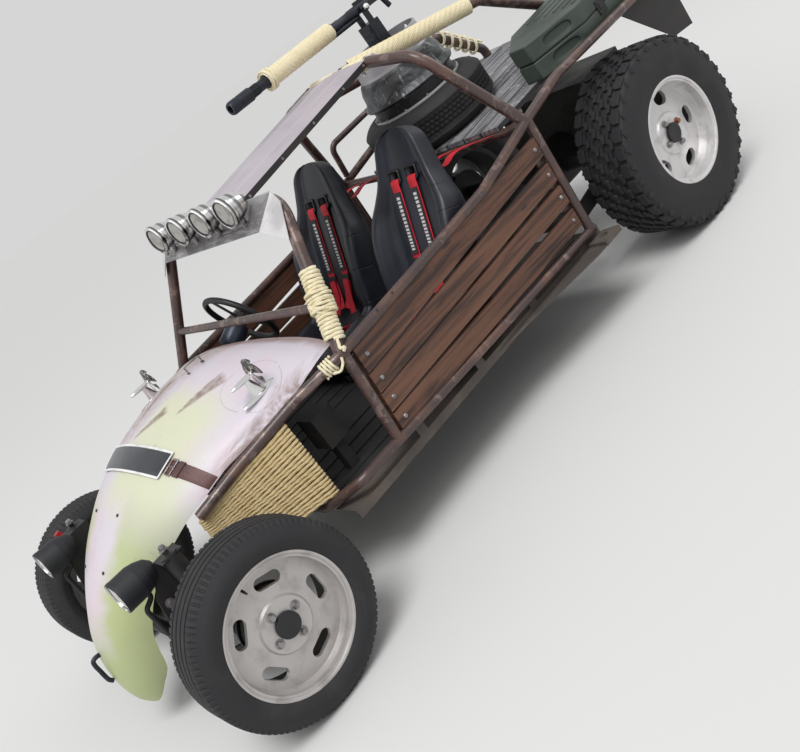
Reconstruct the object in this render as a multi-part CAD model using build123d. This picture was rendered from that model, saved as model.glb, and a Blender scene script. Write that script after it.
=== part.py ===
from build123d import *
import os
from math import atan, cos, degrees, hypot, radians, sin

# Rat rod. X forward, Y to the car's left, Z up, millimetres, ground at Z 0.

# Wheels
AXLE_FRONT_X = 1280.0
AXLE_REAR_X = -1120.0
TYRE_FRONT_R = 297.0
TYRE_REAR_R = 370.0
WHEEL_FRONT_Y = 653.0
WHEEL_REAR_Y = 605.0
RIM_SEAT_R = 190.0
RIM_LIP_R = 208.0
RIM_WALL = 7.0
LIP_THICK = 6.0
RUBBER_GAP = 0.3
SPINDLE_R = 12.0
SPINDLE_GAP = 0.4
SPINDLE_REACH = 25.0
BORE_DEPTH = 31.0
DRUM_R = 106.0
DRUM_BACK = -20.0
HUB_PAD_R = 80.0
CAP_R = 30.0
BACKING_R = 110.0
BACKING_NEAR = -44.0
BACKING_THICK = 8.0
LUG_COUNT = 20
LUG_LENGTH = 62.0
LUG_RISE = 12.0
BAND_HALF = 62.0
BAND_SINK = 28.0

# Steering
KINGPIN_Y = 550.0
KINGPIN_R = 15.0
KINGPIN_HALF = 90.0
KINGPIN_GAP = 0.5
EYE_R = 27.0
EYE_LOW = 58.0
EYE_HIGH = 84.0
CARRIER_HALF = 52.0
ARM_REACH = 120.0
BEAM_X = AXLE_FRONT_X + ARM_REACH
BEAM_R = 26.0
BEAM_HALF_Z = 68.0
BEAM_HALF_Y = 445.0
ARM_R = 15.0
TORSION_R = 34.0
TORSION_X = -700.0
TORSION_Z = 318.0
TORSION_LONG = 868.0

# Tube frame
RAIL_R = 18.0
LOWER_RAIL_R = 17.0
HOOP_R = 21.0
POST_R = 18.0
CROSSBAR_R = 15.0
STAY_R = 21.0
WELD_GAP = 0.2
STUD_GAP = 0.5
RAIL_Y = 600.0

# Bodywork
BONNET_THICK = 4.0
VISOR_THICK = 3.0
PLANK_INNER_Y = 590.0
PLANK_THICK = 18.0
PLANK_GAP = 0.3
TAB_THICK = 5.0
FLOOR_TOP = 300.0
FLOOR_THICK = 4.0
FLOOR_HALF_Y = 590.0

# Deck and turret
DECK_FRONT_X = -600.0
DECK_FRONT_Z = 805.0
DECK_LENGTH = 970.0
DECK_TILT = 3.07
BOARD_WIDTH = 98.0
BOARD_PITCH = 103.0
BOARD_COUNT = 8
BOARD_THICK = 18.0
TURRET_X = -805.0
TURRET_Y = -115.0
TURRET_TYRE_R = 285.0
TURRET_TYRE_WIDTH = 178.0
RING_R = 162.0
RING_FLOOR = 338.0
RING_TOP = 430.0
PIVOT_RISE = 578.0

# Seats
SEAT_Y = 300.0
HIP_X = -20.0
HIP_Z = 415.0
BACK_LEAN = 21.6
BACK_LENGTH = 678.0
BACK_THICK = 68.0
SEAT_HALF = 235.0
WING_WIDTH = 62.0

os.makedirs("parts", exist_ok=True)


def pipe(points, radius, bend=60.0):
    """Round bar along points, with its corners bent to one radius."""
    path = FilletPolyline(*points, radius=bend) if len(points) > 2 else Line(*points)
    return sweep(Plane(origin=path @ 0, z_dir=path % 0) * Circle(radius), path=path)


def block(low, high):
    """Box from its low corner to its high corner."""
    size = [b - a for a, b in zip(low, high)]
    centre = [(a + b) / 2 for a, b in zip(low, high)]
    return Pos(*centre) * Box(*size)


def side_plate(outline, y_low, y_high):
    """Plate with an outline of (x, z) points between two values of y."""
    face = make_face(Plane((0, y_high, 0), (1, 0, 0), (0, -1, 0)) * Polyline(*outline, close=True))
    return extrude(face, y_high - y_low, dir=(0, -1, 0))


def plan_plate(outline, z_low, z_high):
    """Plate with an outline of (x, y) points between two heights."""
    return Pos(0, 0, z_low) * extrude(make_face(Polyline(*outline, close=True)), z_high - z_low)


def sheet(corners, thickness):
    """Flat sheet over its corners, thickened along its normal."""
    return extrude(make_face(Polyline(*corners, close=True)), thickness)


def turned(profile):
    """Ring or disc about local Z from a profile of (radius, height) points."""
    return revolve(Plane.XZ * make_face(Polyline(*profile, close=True)), Axis.Z)


def mirrored(solid):
    """The same piece on the car's right."""
    return mirror(solid, about=Plane.XZ)


def wheel_plane(x, y, z, side):
    """Frame at a wheel's centre with local Z pointing out of the car."""
    return Plane((x, side * y, z), x_dir=(1, 0, 0), z_dir=(0, side, 0))


def deck_top(x):
    """Height of the deck's top at x."""
    return DECK_FRONT_Z + (DECK_FRONT_X - x) * sin(radians(DECK_TILT)) / cos(radians(DECK_TILT))


def save(name, piece):
    """Writes one node."""
    export_step(piece, "parts/" + name + ".step")


# Tyres, a road pattern in front and shoulder lugs behind.
def tyre(tread_r, half_tread, half_bulge, half_bead, bulge_r):
    """Tyre about local Z: bead between the lips, bulged walls, flat tread."""
    seat = RIM_SEAT_R + RUBBER_GAP
    over_lip = RIM_LIP_R + RUBBER_GAP
    bead = half_bead - RUBBER_GAP
    shoulder = (half_tread + half_bulge) / 2 + 2.0
    half = [
        (seat, bead),
        (over_lip, bead),
        (over_lip + 3.0, half_bead + 7.0),
        (bulge_r, half_bulge),
        (tread_r - 22.0, shoulder),
        (tread_r, half_tread),
    ]
    return turned(half + [(r, -h) for r, h in reversed(half)])


def lug_ring(tread_r, base_r, inner, outer):
    """Shoulder lugs on both sides, the second row half a pitch later."""
    lugs = []
    for side, phase in ((1, 0.0), (-1, 0.5)):
        for i in range(LUG_COUNT):
            angle = 360.0 * (i + phase) / LUG_COUNT
            top = (tread_r ** 2 - (LUG_LENGTH / 2) ** 2) ** 0.5
            rise = top - base_r + 20.0
            lug = Pos(top - rise / 2, 0, side * (inner + outer) / 2)
            lugs.append(Rot(0, 0, angle) * lug * Box(rise, LUG_LENGTH, outer - inner))
    return lugs


FRONT_LIP = 83.0
REAR_LIP = 117.0
front_tyre = tyre(TYRE_FRONT_R, 66.0, 95.0, FRONT_LIP - LIP_THICK, 243.0)
rear_carcass = tyre(TYRE_REAR_R - LUG_RISE, 108.0, 131.0, REAR_LIP - LIP_THICK, 268.0)
band_foot = TYRE_REAR_R - LUG_RISE - BAND_SINK
rear_band = turned([(band_foot, -BAND_HALF), (TYRE_REAR_R, -BAND_HALF), (TYRE_REAR_R, BAND_HALF), (band_foot, BAND_HALF)])
rear_lugs = lug_ring(TYRE_REAR_R, TYRE_REAR_R - LUG_RISE, BAND_HALF + 10.0, BAND_HALF + 50.0)
rear_tyre = rear_carcass + [rear_band] + rear_lugs


def rim(lip, face_rise, slot_length, slot_width, slot_r):
    """Slotted alloy rim about local Z with its hub drum and a bore for the spindle."""
    inside = RIM_SEAT_R - RIM_WALL
    back = face_rise - 16.0
    pad = face_rise + 18.0
    profile = [
        (RIM_LIP_R, lip),
        (RIM_LIP_R, lip - LIP_THICK),
        (RIM_SEAT_R, lip - LIP_THICK),
        (RIM_SEAT_R, LIP_THICK - lip),
        (RIM_LIP_R, LIP_THICK - lip),
        (RIM_LIP_R, -lip),
        (inside, -lip),
        (inside, back),
        (DRUM_R, back + 8.0),
        (DRUM_R, DRUM_BACK),
        (SPINDLE_R + SPINDLE_GAP, DRUM_BACK),
        (SPINDLE_R + SPINDLE_GAP, BORE_DEPTH),
        (0.0, BORE_DEPTH),
        (0.0, pad + 10.0),
        (CAP_R, pad + 10.0),
        (CAP_R, pad),
        (HUB_PAD_R, pad),
        (HUB_PAD_R + 6.0, face_rise + 10.0),
        (inside, face_rise),
        (RIM_LIP_R - 9.0, lip - 2.0),
        (RIM_LIP_R - 6.0, lip),
    ]
    slot = Pos(slot_r, 0, 0) * Rot(0, 0, 90) * SlotOverall(slot_length, slot_width)
    cutter = Pos(0, 0, back - 10.0) * extrude(slot, 60.0)
    cuts = [Rot(0, 0, 72.0 * i + 36.0) * cutter for i in range(5)]
    return turned(profile) - cuts


front_rim = rim(FRONT_LIP, 38.0, 86.0, 38.0, 137.0)
rear_rim = rim(REAR_LIP, 44.0, 74.0, 54.0, 143.0)

WHEELS = (
    # end, side, axle x, centre y, centre z, tyre, rim
    ("front_left", 1, AXLE_FRONT_X, WHEEL_FRONT_Y, TYRE_FRONT_R, front_tyre, front_rim),
    ("front_right", -1, AXLE_FRONT_X, WHEEL_FRONT_Y, TYRE_FRONT_R, front_tyre, front_rim),
    ("rear_left", 1, AXLE_REAR_X, WHEEL_REAR_Y, TYRE_REAR_R, rear_tyre, rear_rim),
    ("rear_right", -1, AXLE_REAR_X, WHEEL_REAR_Y, TYRE_REAR_R, rear_tyre, rear_rim),
)
for end, side, x, y, z, rubber, alloy in WHEELS:
    place = wheel_plane(x, y, z, side)
    save("tyre_" + end, place * rubber)
    save("rim_" + end, place * alloy)


# Stub axle: flange from inboard, backing plate, spindle into the wheel.
def stub(inboard):
    """Stub about local Z at the wheel's centre, starting at the inboard offset."""
    backing = BACKING_NEAR + BACKING_THICK
    return turned([
        (0.0, inboard),
        (30.0, inboard),
        (30.0, BACKING_NEAR),
        (BACKING_R, BACKING_NEAR),
        (BACKING_R, backing),
        (26.0, backing),
        (26.0, DRUM_BACK - 6.0),
        (SPINDLE_R, DRUM_BACK - 6.0),
        (SPINDLE_R, SPINDLE_REACH),
        (0.0, SPINDLE_REACH),
    ])


axle_z = TYRE_FRONT_R
kingpin = Pos(AXLE_FRONT_X, KINGPIN_Y, axle_z)
knuckle = (
    wheel_plane(AXLE_FRONT_X, WHEEL_FRONT_Y, axle_z, 1) * stub(KINGPIN_Y - WHEEL_FRONT_Y)
    + kingpin * Cylinder(KINGPIN_R, 2 * KINGPIN_HALF)
    + kingpin * Cylinder(EYE_R - 3.0, 2 * CARRIER_HALF)
)
save("knuckle_left", knuckle)
save("knuckle_right", mirrored(knuckle))

# Front axle: two beam tubes, trailing arms with eyes round the king pins, tower feet.
def beam(side, radius, length):
    """Lower or upper beam tube."""
    return Pos(BEAM_X, 0, axle_z + side * BEAM_HALF_Z) * Rot(90, 0, 0) * Cylinder(radius, length)


def trailing_arm(side, radius):
    """Lower or upper trailing arm from the beam's end to the king pin."""
    level = axle_z + side * (EYE_LOW + EYE_HIGH) / 2
    return pipe([(BEAM_X, BEAM_HALF_Y - 22.0, level), (AXLE_FRONT_X, KINGPIN_Y, level)], radius)


beam_tubes = [beam(s, BEAM_R, 2 * BEAM_HALF_Y) for s in (-1, 1)]
arms = []
for s in (-1, 1):
    level = axle_z + s * (EYE_LOW + EYE_HIGH) / 2
    arm = trailing_arm(s, ARM_R)
    eye = Pos(AXLE_FRONT_X, KINGPIN_Y, level) * Cylinder(EYE_R, EYE_HIGH - EYE_LOW)
    arms += [arm, eye, mirrored(arm), mirrored(eye)]
pin_bore = kingpin * Cylinder(KINGPIN_R + KINGPIN_GAP, 4 * KINGPIN_HALF)
spacers = [block((BEAM_X - 8.0, y - 8.0, axle_z - 60.0), (BEAM_X + 8.0, y + 8.0, axle_z + 60.0))
           for y in (-300.0, 300.0)]
front_axle = beam_tubes[0] + beam_tubes[1:] + spacers + arms - [pin_bore, mirrored(pin_bore)]
save("front_axle", front_axle)

# Shock towers with their shock absorbers.
TOWER_Y = 396.0
TOWER_THICK = 6.0
TOWER_TOP = 592.0
TOWER_FOOT = 205.0
TOWER_OUTLINE = ((-108, TOWER_TOP), (-24, TOWER_TOP), (38, 500), (56, 400), (40, TOWER_FOOT), (-34, TOWER_FOOT), (-50, 400),
                 (-108, 540))
TOWER = [(BEAM_X + dx, z) for dx, z in TOWER_OUTLINE]
SHOCK_TOP = (BEAM_X - 66.0, TOWER_Y + 40.0, TOWER_TOP + 20.0)
SHOCK_FOOT = (BEAM_X - 66.0, TOWER_Y + 98.0, 236.0)
beam_cut = [beam(s, BEAM_R + WELD_GAP, 900.0) for s in (-1, 1)]
arm_cut = [trailing_arm(s, ARM_R + WELD_GAP) for s in (-1, 1)]
shelf = block((BEAM_X - 104, TOWER_Y, TOWER_TOP - TOWER_THICK), (BEAM_X - 28, TOWER_Y + 72.0, TOWER_TOP))
span = Vector(*SHOCK_FOOT) - Vector(*SHOCK_TOP)
shock_plane = Plane(SHOCK_TOP, x_dir=(1, 0, 0), z_dir=span)
shock = shock_plane * turned([
    (0.0, 0.0), (9.0, 0.0), (9.0, 14.0), (30.0, 20.0), (30.0, 160.0),
    (22.0, 162.0), (22.0, 330.0), (14.0, 340.0), (14.0, span.length), (0.0, span.length),
])
tower = side_plate(TOWER, TOWER_Y, TOWER_Y + TOWER_THICK) + [shelf, shock] - beam_cut - arm_cut
save("shock_left", tower)
save("shock_right", mirrored(tower))

# Bonnet: crown line with half width and edge drop at each rib.
RIBS = (
    # crown x, crown z, half width, edge drop
    (530, 757, 500, 34),
    (585, 779, 499, 56),
    (640, 795, 496, 78),
    (720, 806, 488, 108),
    (800, 809, 478, 124),
    (900, 801, 459, 133),
    (1000, 787, 437, 138),
    (1076, 771, 416, 138),
    (1180, 736, 382, 135),
    (1260, 702, 350, 128),
    (1340, 656, 312, 122),
    (1416, 605, 272, 120),
    (1490, 538, 232, 122),
    (1550, 468, 196, 127),
    (1597, 396, 168, 134),
    (1626, 310, 154, 139),
    (1634, 220, 147, 137),
    (1624, 155, 128, 118),
    (1606, 118, 100, 84),
    (1593, 101, 62, 40),
)
KNEE_Y, KNEE_DROP = 0.60, 0.22
HAUNCH_Y, HAUNCH_DROP = 0.80, 0.488
PLATE_RIB = 7
PLATE_LONG = 520.0
BELT_WIDE = 48.0


def rib_points(index, lift):
    """Seven points across the bonnet at a rib, lifted along its outward normal."""
    x, z, half, drop = RIBS[index]
    before = RIBS[max(index - 1, 0)]
    after = RIBS[min(index + 1, len(RIBS) - 1)]
    run, climb = after[0] - before[0], after[1] - before[1]
    size = hypot(run, climb)
    nx, nz = -climb / size, run / size
    row = []
    for share_y, share_drop in ((1, 1), (HAUNCH_Y, HAUNCH_DROP), (KNEE_Y, KNEE_DROP), (0, 0)):
        sink = lift - share_drop * drop
        row.append((x + nx * sink, share_y * half, z + nz * sink))
    return row + [(px, -py, pz) for px, py, pz in reversed(row[:3])]


def rib_face(low, high):
    """Closed section between a lower and an upper row of seven points."""
    edges = []
    for row in (high, low):
        for i in (0, 2, 4):
            edges.append(ThreePointArc(row[i], row[i + 1], row[i + 2]))
    edges += [Line(high[0], low[0]), Line(high[6], low[6])]
    return make_face(edges)


def band(low, high):
    """Band on the bonnet over the plate's bay, between two lifts."""
    ends = (PLATE_RIB, PLATE_RIB + 1)
    return loft([rib_face(rib_points(i, low), rib_points(i, high)) for i in ends], ruled=True)


bonnet = loft([rib_face(rib_points(i, -BONNET_THICK), rib_points(i, 0.0)) for i in range(len(RIBS))], ruled=True)
save("bonnet", bonnet)
bay_low_x, bay_high_z = RIBS[PLATE_RIB][:2]
bay_high_x, bay_low_z = RIBS[PLATE_RIB + 1][:2]
bay_fall = degrees(atan((bay_high_z - bay_low_z) / (bay_high_x - bay_low_x)))
bay_x, bay_z = (bay_low_x + bay_high_x) / 2, (bay_low_z + bay_high_z) / 2
belt = band(0.6, 4.2) & (Pos(bay_x, 0, bay_z) * Rot(0, bay_fall, 0) * Box(BELT_WIDE, 2000, 1000))
save("belt", belt)
plate = band(5.0, 7.5) & Box(4000, PLATE_LONG, 4000)

# Bonnet fittings: handle, staple, plate and the two mascots' pedestals.
MASCOT_X, MASCOT_Y, MASCOT_BASE = 800.0, 424.0, 733.0
MASCOT_RISE = 65.0
MASCOT_HUB = MASCOT_BASE + MASCOT_RISE
HUB_PIN_R = 3.0
PROP_R = 48.0
handle = pipe([(1612, 0, 356), (1639, 0, 362), (1644, 0, 262), (1630, 0, 258)], 6.0, 14.0)
staple = pipe([(702, -50, 803), (702, -50, 830), (768, -50, 832), (768, -50, 804)], 4.0, 8.0)
foot = Pos(MASCOT_X, MASCOT_Y, MASCOT_BASE) * Rot(-34, 2, 0) * extrude(Ellipse(80, 15), 5, both=True)
column = pipe([(MASCOT_X + 6, MASCOT_Y, MASCOT_BASE), (MASCOT_X + 6, MASCOT_Y, MASCOT_HUB)], 7.0)
pod_plane = Plane((MASCOT_X + 70, MASCOT_Y, MASCOT_HUB), z_dir=(-1, 0, 0))
pod = pod_plane * turned([(0, 0), (5, 10), (9, 40), (9, 78), (HUB_PIN_R, 80), (HUB_PIN_R, 100), (0, 100)])
pedestal = foot + [column, pod]
inside_bonnet = loft([rib_face(rib_points(i, -60.0), rib_points(i, WELD_GAP)) for i in range(2, 8)], ruled=True)
pedestal = pedestal - inside_bonnet
fittings = [handle - bonnet, staple - bonnet, plate, pedestal, mirrored(pedestal)]
save("bonnet_fittings", Compound(children=[s for f in fittings for s in f.solids()]))

PROP_NEAR = 86.0
BLADE_HALF = 15.0
BLADE_THICK = 2.0
BLADE_COUNT = 5
blade_plan = Polyline((0, -4), (PROP_R, -BLADE_HALF), (PROP_R, BLADE_HALF), (0, 4), close=True)
blade = extrude(make_face(blade_plan), BLADE_THICK)
prop = turned([(HUB_PIN_R + 0.4, PROP_NEAR), (10, PROP_NEAR), (8, PROP_NEAR + 10), (HUB_PIN_R + 0.4, PROP_NEAR + 10)])
blades = [Rot(0, 0, 360 / BLADE_COUNT * i) * Pos(HUB_PIN_R + 3, 0, PROP_NEAR + 3) * blade for i in range(BLADE_COUNT)]
blade_disc = Pos(0, 0, PROP_NEAR) * Cylinder(PROP_R, 40)
prop = prop + [b & blade_disc for b in blades]
propeller = pod_plane * prop
save("propeller_left", propeller)
save("propeller_right", mirrored(propeller))

# Tube frame. Left-hand runs; the right-hand ones mirror them.
UPPER_RAIL = [(1186, 403, 588), (1015, 446, 624), (770, 506, 663), (596, 600, 695), (71, 600, 721),
              (-217, 600, 737), (-550, 600, 805), (-804, 600, 848), (-1600, 600, 853)]
LOWER_RAIL = [(-575, 600, 329), (790, 600, 361), (880, 470, 321), (872, 330, 303)]
FRONT_POST = [(604, 600, 357), (577, 600, 697)]
SCREEN_BASE = Vector(580, 592, 700)
SCREEN_CORNER = Vector(345, 445, 1150)
SCREEN_SPLIT = 0.80
REAR_STAY = [(-420, 205.4, 1257), (-410, 450, 1210), (-550, 600, 806)]
REAR_POST = [(-552, 600, 331), (-560, 600, 806)]

upper_rail = pipe(UPPER_RAIL, RAIL_R, 90.0)
upper_rail_cut = pipe(UPPER_RAIL, RAIL_R + WELD_GAP, 90.0)
lower_rail = pipe(LOWER_RAIL, LOWER_RAIL_R, 60.0)
lower_rail_cut = pipe(LOWER_RAIL, LOWER_RAIL_R + WELD_GAP, 60.0)


STUD_R = 7.0
STUD_SPACE = 70.0
over_bonnet = loft([rib_face(rib_points(i, -BONNET_THICK - STUD_GAP), rib_points(i, STUD_SPACE)) for i in range(2, 9)],
                   ruled=True)


def bonnet_stud(x, rail_y, rail_z, y):
    """Bent stud from the rail up to the bonnet's underside."""
    high = pipe([(x, rail_y, rail_z), (x, y, rail_z + 2), (x, y, rail_z + STUD_SPACE)], STUD_R, 12.0) - over_bonnet
    return high.solids().sort_by(Axis.Z)[0]


studs = [bonnet_stud(1040, 438, 620, 400), bonnet_stud(800, 499, 658, 452)]
rail_piece = upper_rail + studs
save("rail_upper_left", rail_piece)
save("rail_upper_right", mirrored(rail_piece))
save("rail_lower_left", lower_rail)
save("rail_lower_right", mirrored(lower_rail))

split = SCREEN_BASE + (SCREEN_CORNER - SCREEN_BASE) * SCREEN_SPLIT
split_end = SCREEN_BASE + (SCREEN_CORNER - SCREEN_BASE) * (SCREEN_SPLIT - 0.0005)
front_post = pipe(FRONT_POST, POST_R)
screen_leg = pipe([SCREEN_BASE, split_end], HOOP_R)
screen_leg_cut = pipe([SCREEN_BASE, split_end], HOOP_R + WELD_GAP)
front_tab = side_plate([(536, 372), (600, 372), (586, 664), (520, 664)], PLANK_INNER_Y - TAB_THICK - WELD_GAP,
                       PLANK_INNER_Y - WELD_GAP)
screen_post = front_post + [front_tab, screen_leg] - [upper_rail_cut, lower_rail_cut]
save("screen_post_left", screen_post)
save("screen_post_right", mirrored(screen_post))
header_points = [split, SCREEN_CORNER, Vector(SCREEN_CORNER.X, -SCREEN_CORNER.Y, SCREEN_CORNER.Z),
                 Vector(split.X, -split.Y, split.Z)]
header = pipe(header_points, HOOP_R, 110.0)
header_cut = pipe(header_points, HOOP_R + WELD_GAP, 110.0)
save("screen_header", header)
CROSSBAR = [(512, -552, 830), (512, 552, 830)]
crossbar = pipe(CROSSBAR, CROSSBAR_R) - [screen_leg_cut, mirrored(screen_leg_cut)]
save("screen_crossbar", crossbar)

rear_stay = pipe(REAR_STAY, HOOP_R, 110.0)
rear_stay_cut = pipe(REAR_STAY, HOOP_R + WELD_GAP, 110.0)
rear_post = pipe(REAR_POST, POST_R)
rear_tab = side_plate([(-492, 378), (-556, 378), (-564, 742), (-505, 742)], PLANK_INNER_Y - TAB_THICK - WELD_GAP,
                      PLANK_INNER_Y - WELD_GAP)
rear_hoop = rear_post + [rear_tab, rear_stay] - [upper_rail_cut, lower_rail_cut]
save("rear_hoop_left", rear_hoop)
save("rear_hoop_right", mirrored(rear_hoop))

foot_cut = [lower_rail_cut, mirrored(lower_rail_cut)]
rails_cut = [upper_rail_cut, mirrored(upper_rail_cut)]
CROSS_R = 17.0
rear_post_cut = pipe(REAR_POST, POST_R + WELD_GAP)
hoop_cuts = [rear_stay_cut, rear_post_cut, mirrored(rear_stay_cut), mirrored(rear_post_cut)]
FRONT_CROSS = [(-572, 592, 800), (-612, 420, 770), (-612, -420, 770), (-572, -592, 800)]
front_cross = pipe(FRONT_CROSS, CROSS_R, 60.0) - rails_cut - hoop_cuts
save("cross_tube_front", front_cross)
TAIL_CROSS = [(-1560, -592, 820), (-1560, 592, 820)]
tail_cross = pipe(TAIL_CROSS, CROSS_R) - rails_cut
save("cross_tube_tail", tail_cross)

# Side planks between the posts, fanned out a little towards the rear.
PLANKS = (
    # front x, front low z, front high z, rear x, rear low z, rear high z
    (552, 588, 690, -537, 672, 745),
    (560, 514, 584, -532, 567, 642),
    (567, 441, 509, -528, 473, 547),
    (574, 366, 434, -524, 374, 447),
)
rail_clear = [pipe(UPPER_RAIL, RAIL_R + PLANK_GAP, 90.0), pipe(LOWER_RAIL, LOWER_RAIL_R + PLANK_GAP, 60.0)]
post_clear = [pipe(FRONT_POST, POST_R + PLANK_GAP), pipe(REAR_POST, POST_R + PLANK_GAP)]
planks = []
for front_x, front_low, front_high, rear_x, rear_low, rear_high in PLANKS:
    outline = [(front_x, front_low), (front_x - 5, front_high), (rear_x, rear_high), (rear_x, rear_low)]
    plank = side_plate(outline, PLANK_INNER_Y, PLANK_INNER_Y + PLANK_THICK) - rail_clear - post_clear
    planks += plank.solids()
save("planks_left", Compound(children=planks))
save("planks_right", Compound(children=[mirrored(p) for p in planks]))

# Roof strip: folded sheet with edge rails and the bar behind it.
ROOF_FRONT = Vector(348, 0, 1176)
ROOF_REAR = Vector(-430, 0, 1274)
ROOF_HALF = 205.0
ROOF_EDGE_DEEP = 22.0
ROOF_EDGE_WIDE = 12.0
ROOF_SECTION = [
    (-ROOF_HALF, -ROOF_EDGE_DEEP), (-ROOF_HALF, 0), (-75, 7), (75, 7), (ROOF_HALF, 0), (ROOF_HALF, -ROOF_EDGE_DEEP),
    (ROOF_HALF - ROOF_EDGE_WIDE, -ROOF_EDGE_DEEP), (ROOF_HALF - ROOF_EDGE_WIDE, -3), (75, 4), (-75, 4),
    (ROOF_EDGE_WIDE - ROOF_HALF, -3), (ROOF_EDGE_WIDE - ROOF_HALF, -ROOF_EDGE_DEEP),
]
roof_run = ROOF_REAR - ROOF_FRONT
roof_plane = Plane(ROOF_FRONT, x_dir=(0, 1, 0), z_dir=-roof_run)
roof_face = roof_plane * make_face(Polyline(*[(u, v) for u, v in ROOF_SECTION], close=True))
roof_sheet = extrude(roof_face, roof_run.length, dir=roof_run)
REAR_BAR = [(-433, -232, 1262), (-433, 232, 1262)]
REAR_BAR_R = 14.0
roof = roof_sheet + pipe(REAR_BAR, REAR_BAR_R) - [header_cut, rear_stay_cut, mirrored(rear_stay_cut)]
save("roof_panel", roof)

# Tail stays down to the deck.
LEFT_STAY = [(-436, 8, 1264), (-1060, 190, 1168), (-1500, 186, 897), (-1500, 186, 856.5)]
RIGHT_STAY = [(-404, -440, 1203), (-1215, -300, 1085), (-1490, -366, 893), (-1490, -366, 856)]
bar_cut = pipe(REAR_BAR, REAR_BAR_R + WELD_GAP)
left_stay = pipe(LEFT_STAY, STAY_R, 50.0) - bar_cut - [extrude(roof_face, roof_run.length + 6.0, dir=roof_run)]
left_stay = left_stay.solids().sort_by(SortBy.VOLUME)[-1]
save("tail_stay_left", left_stay)
right_stay = pipe(RIGHT_STAY, STAY_R, 50.0) - mirrored(rear_stay_cut)
right_stay = right_stay.solids().sort_by(SortBy.VOLUME)[-1]
save("tail_stay_right", right_stay)
GUARD = [(-590, -584, 836), (-590, -562, 985), (-1040, -562, 1004), (-1040, -584, 862)]
guard = pipe(GUARD, 14.0, 40.0) - [mirrored(upper_rail_cut)] - [mirrored(rear_stay_cut)]
save("deck_guard", guard.solids().sort_by(SortBy.VOLUME)[-1])

# Visor with its end gussets and four spot lamps.
VISOR_LOW_X, VISOR_LOW_Z, VISOR_TOP_X, VISOR_TOP_Z = 443.7, 1094.0, 348.7, 1175.0
VISOR_HALF = 382.0
visor_main = sheet([(VISOR_LOW_X, VISOR_HALF, VISOR_LOW_Z), (VISOR_TOP_X, VISOR_HALF + 40, VISOR_TOP_Z),
                    (VISOR_TOP_X, -VISOR_HALF - 40, VISOR_TOP_Z), (VISOR_LOW_X, -VISOR_HALF, VISOR_LOW_Z)], VISOR_THICK)
visor_end = (VISOR_LOW_X, VISOR_HALF, VISOR_LOW_Z)
gusset_tip = (372, 478, 1142)
gusset = sheet([visor_end, (434, 492, 1040), gusset_tip], VISOR_THICK)
gusset_top = sheet([visor_end, gusset_tip, (VISOR_TOP_X, VISOR_HALF + 40, VISOR_TOP_Z)], VISOR_THICK)
leg_cuts = [screen_leg_cut, mirrored(screen_leg_cut), header_cut]
roof_cut = extrude(roof_face, 60.0, dir=roof_run) + extrude(roof_face, 60.0, dir=-roof_run)
visor = visor_main + [gusset, gusset_top, mirrored(gusset), mirrored(gusset_top)] - leg_cuts - roof_cut
visor = visor.solids().sort_by(SortBy.VOLUME)[-1]
save("visor", visor)
LAMP_X, LAMP_Z, LAMP_R, LAMP_DEEP = 458.0, 1192.0, 55.0, 94.0
LAMPS_Y = (-285.0, -95.0, 95.0, 285.0)
lamps = []
for y in LAMPS_Y:
    bowl = Plane((LAMP_X, y, LAMP_Z), z_dir=(-1, 0, 0)) * turned([
        (0, 4), (LAMP_R - 7, 4), (LAMP_R - 7, 0), (LAMP_R, 0), (LAMP_R, 14), (LAMP_R - 4, 20),
        (LAMP_R - 7, 44), (LAMP_R - 18, 70), (LAMP_R - 32, 88), (12, LAMP_DEEP), (0, LAMP_DEEP),
    ])
    stem = pipe([(LAMP_X - 42, y, LAMP_Z - 30), (LAMP_X - 42, y, 1100)], 9.0) - visor
    lamps += (bowl + stem.solids().sort_by(Axis.Z)[-1]).solids()
save("spot_lamps", Compound(children=lamps))

# Headlamp pods on bent arms from the towers.
HEAD_X, HEAD_Y, HEAD_Z, HEAD_R, HEAD_DEEP = BEAM_X + 106.0, 372.0, 583.0, 54.0, 138.0
pod = Plane((HEAD_X, HEAD_Y, HEAD_Z), z_dir=(-1, 0, -0.05)) * turned([
    (0, 5), (HEAD_R - 5, 5), (HEAD_R - 5, 0), (HEAD_R, 0), (HEAD_R, 70), (HEAD_R - 6, 96),
    (HEAD_R - 18, 122), (HEAD_R - 34, 135), (0, HEAD_DEEP),
])
ARM_ROUTE = ((-70, 2, -23), (-70, 4, -69), (-32, 10, -83), (-32, 16, -211), (-66, TOWER_Y + 3 - HEAD_Y, -227))
arm = pipe([(HEAD_X + dx, HEAD_Y + dy, HEAD_Z + dz) for dx, dy, dz in ARM_ROUTE], 8.0, 16.0)
tower_cut = side_plate(TOWER, TOWER_Y - WELD_GAP, TOWER_Y + TOWER_THICK)
headlamp = (pod + arm - tower_cut).solids().sort_by(SortBy.VOLUME)[-1]
save("headlamp_left", headlamp)
save("headlamp_right", mirrored(headlamp))

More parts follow.
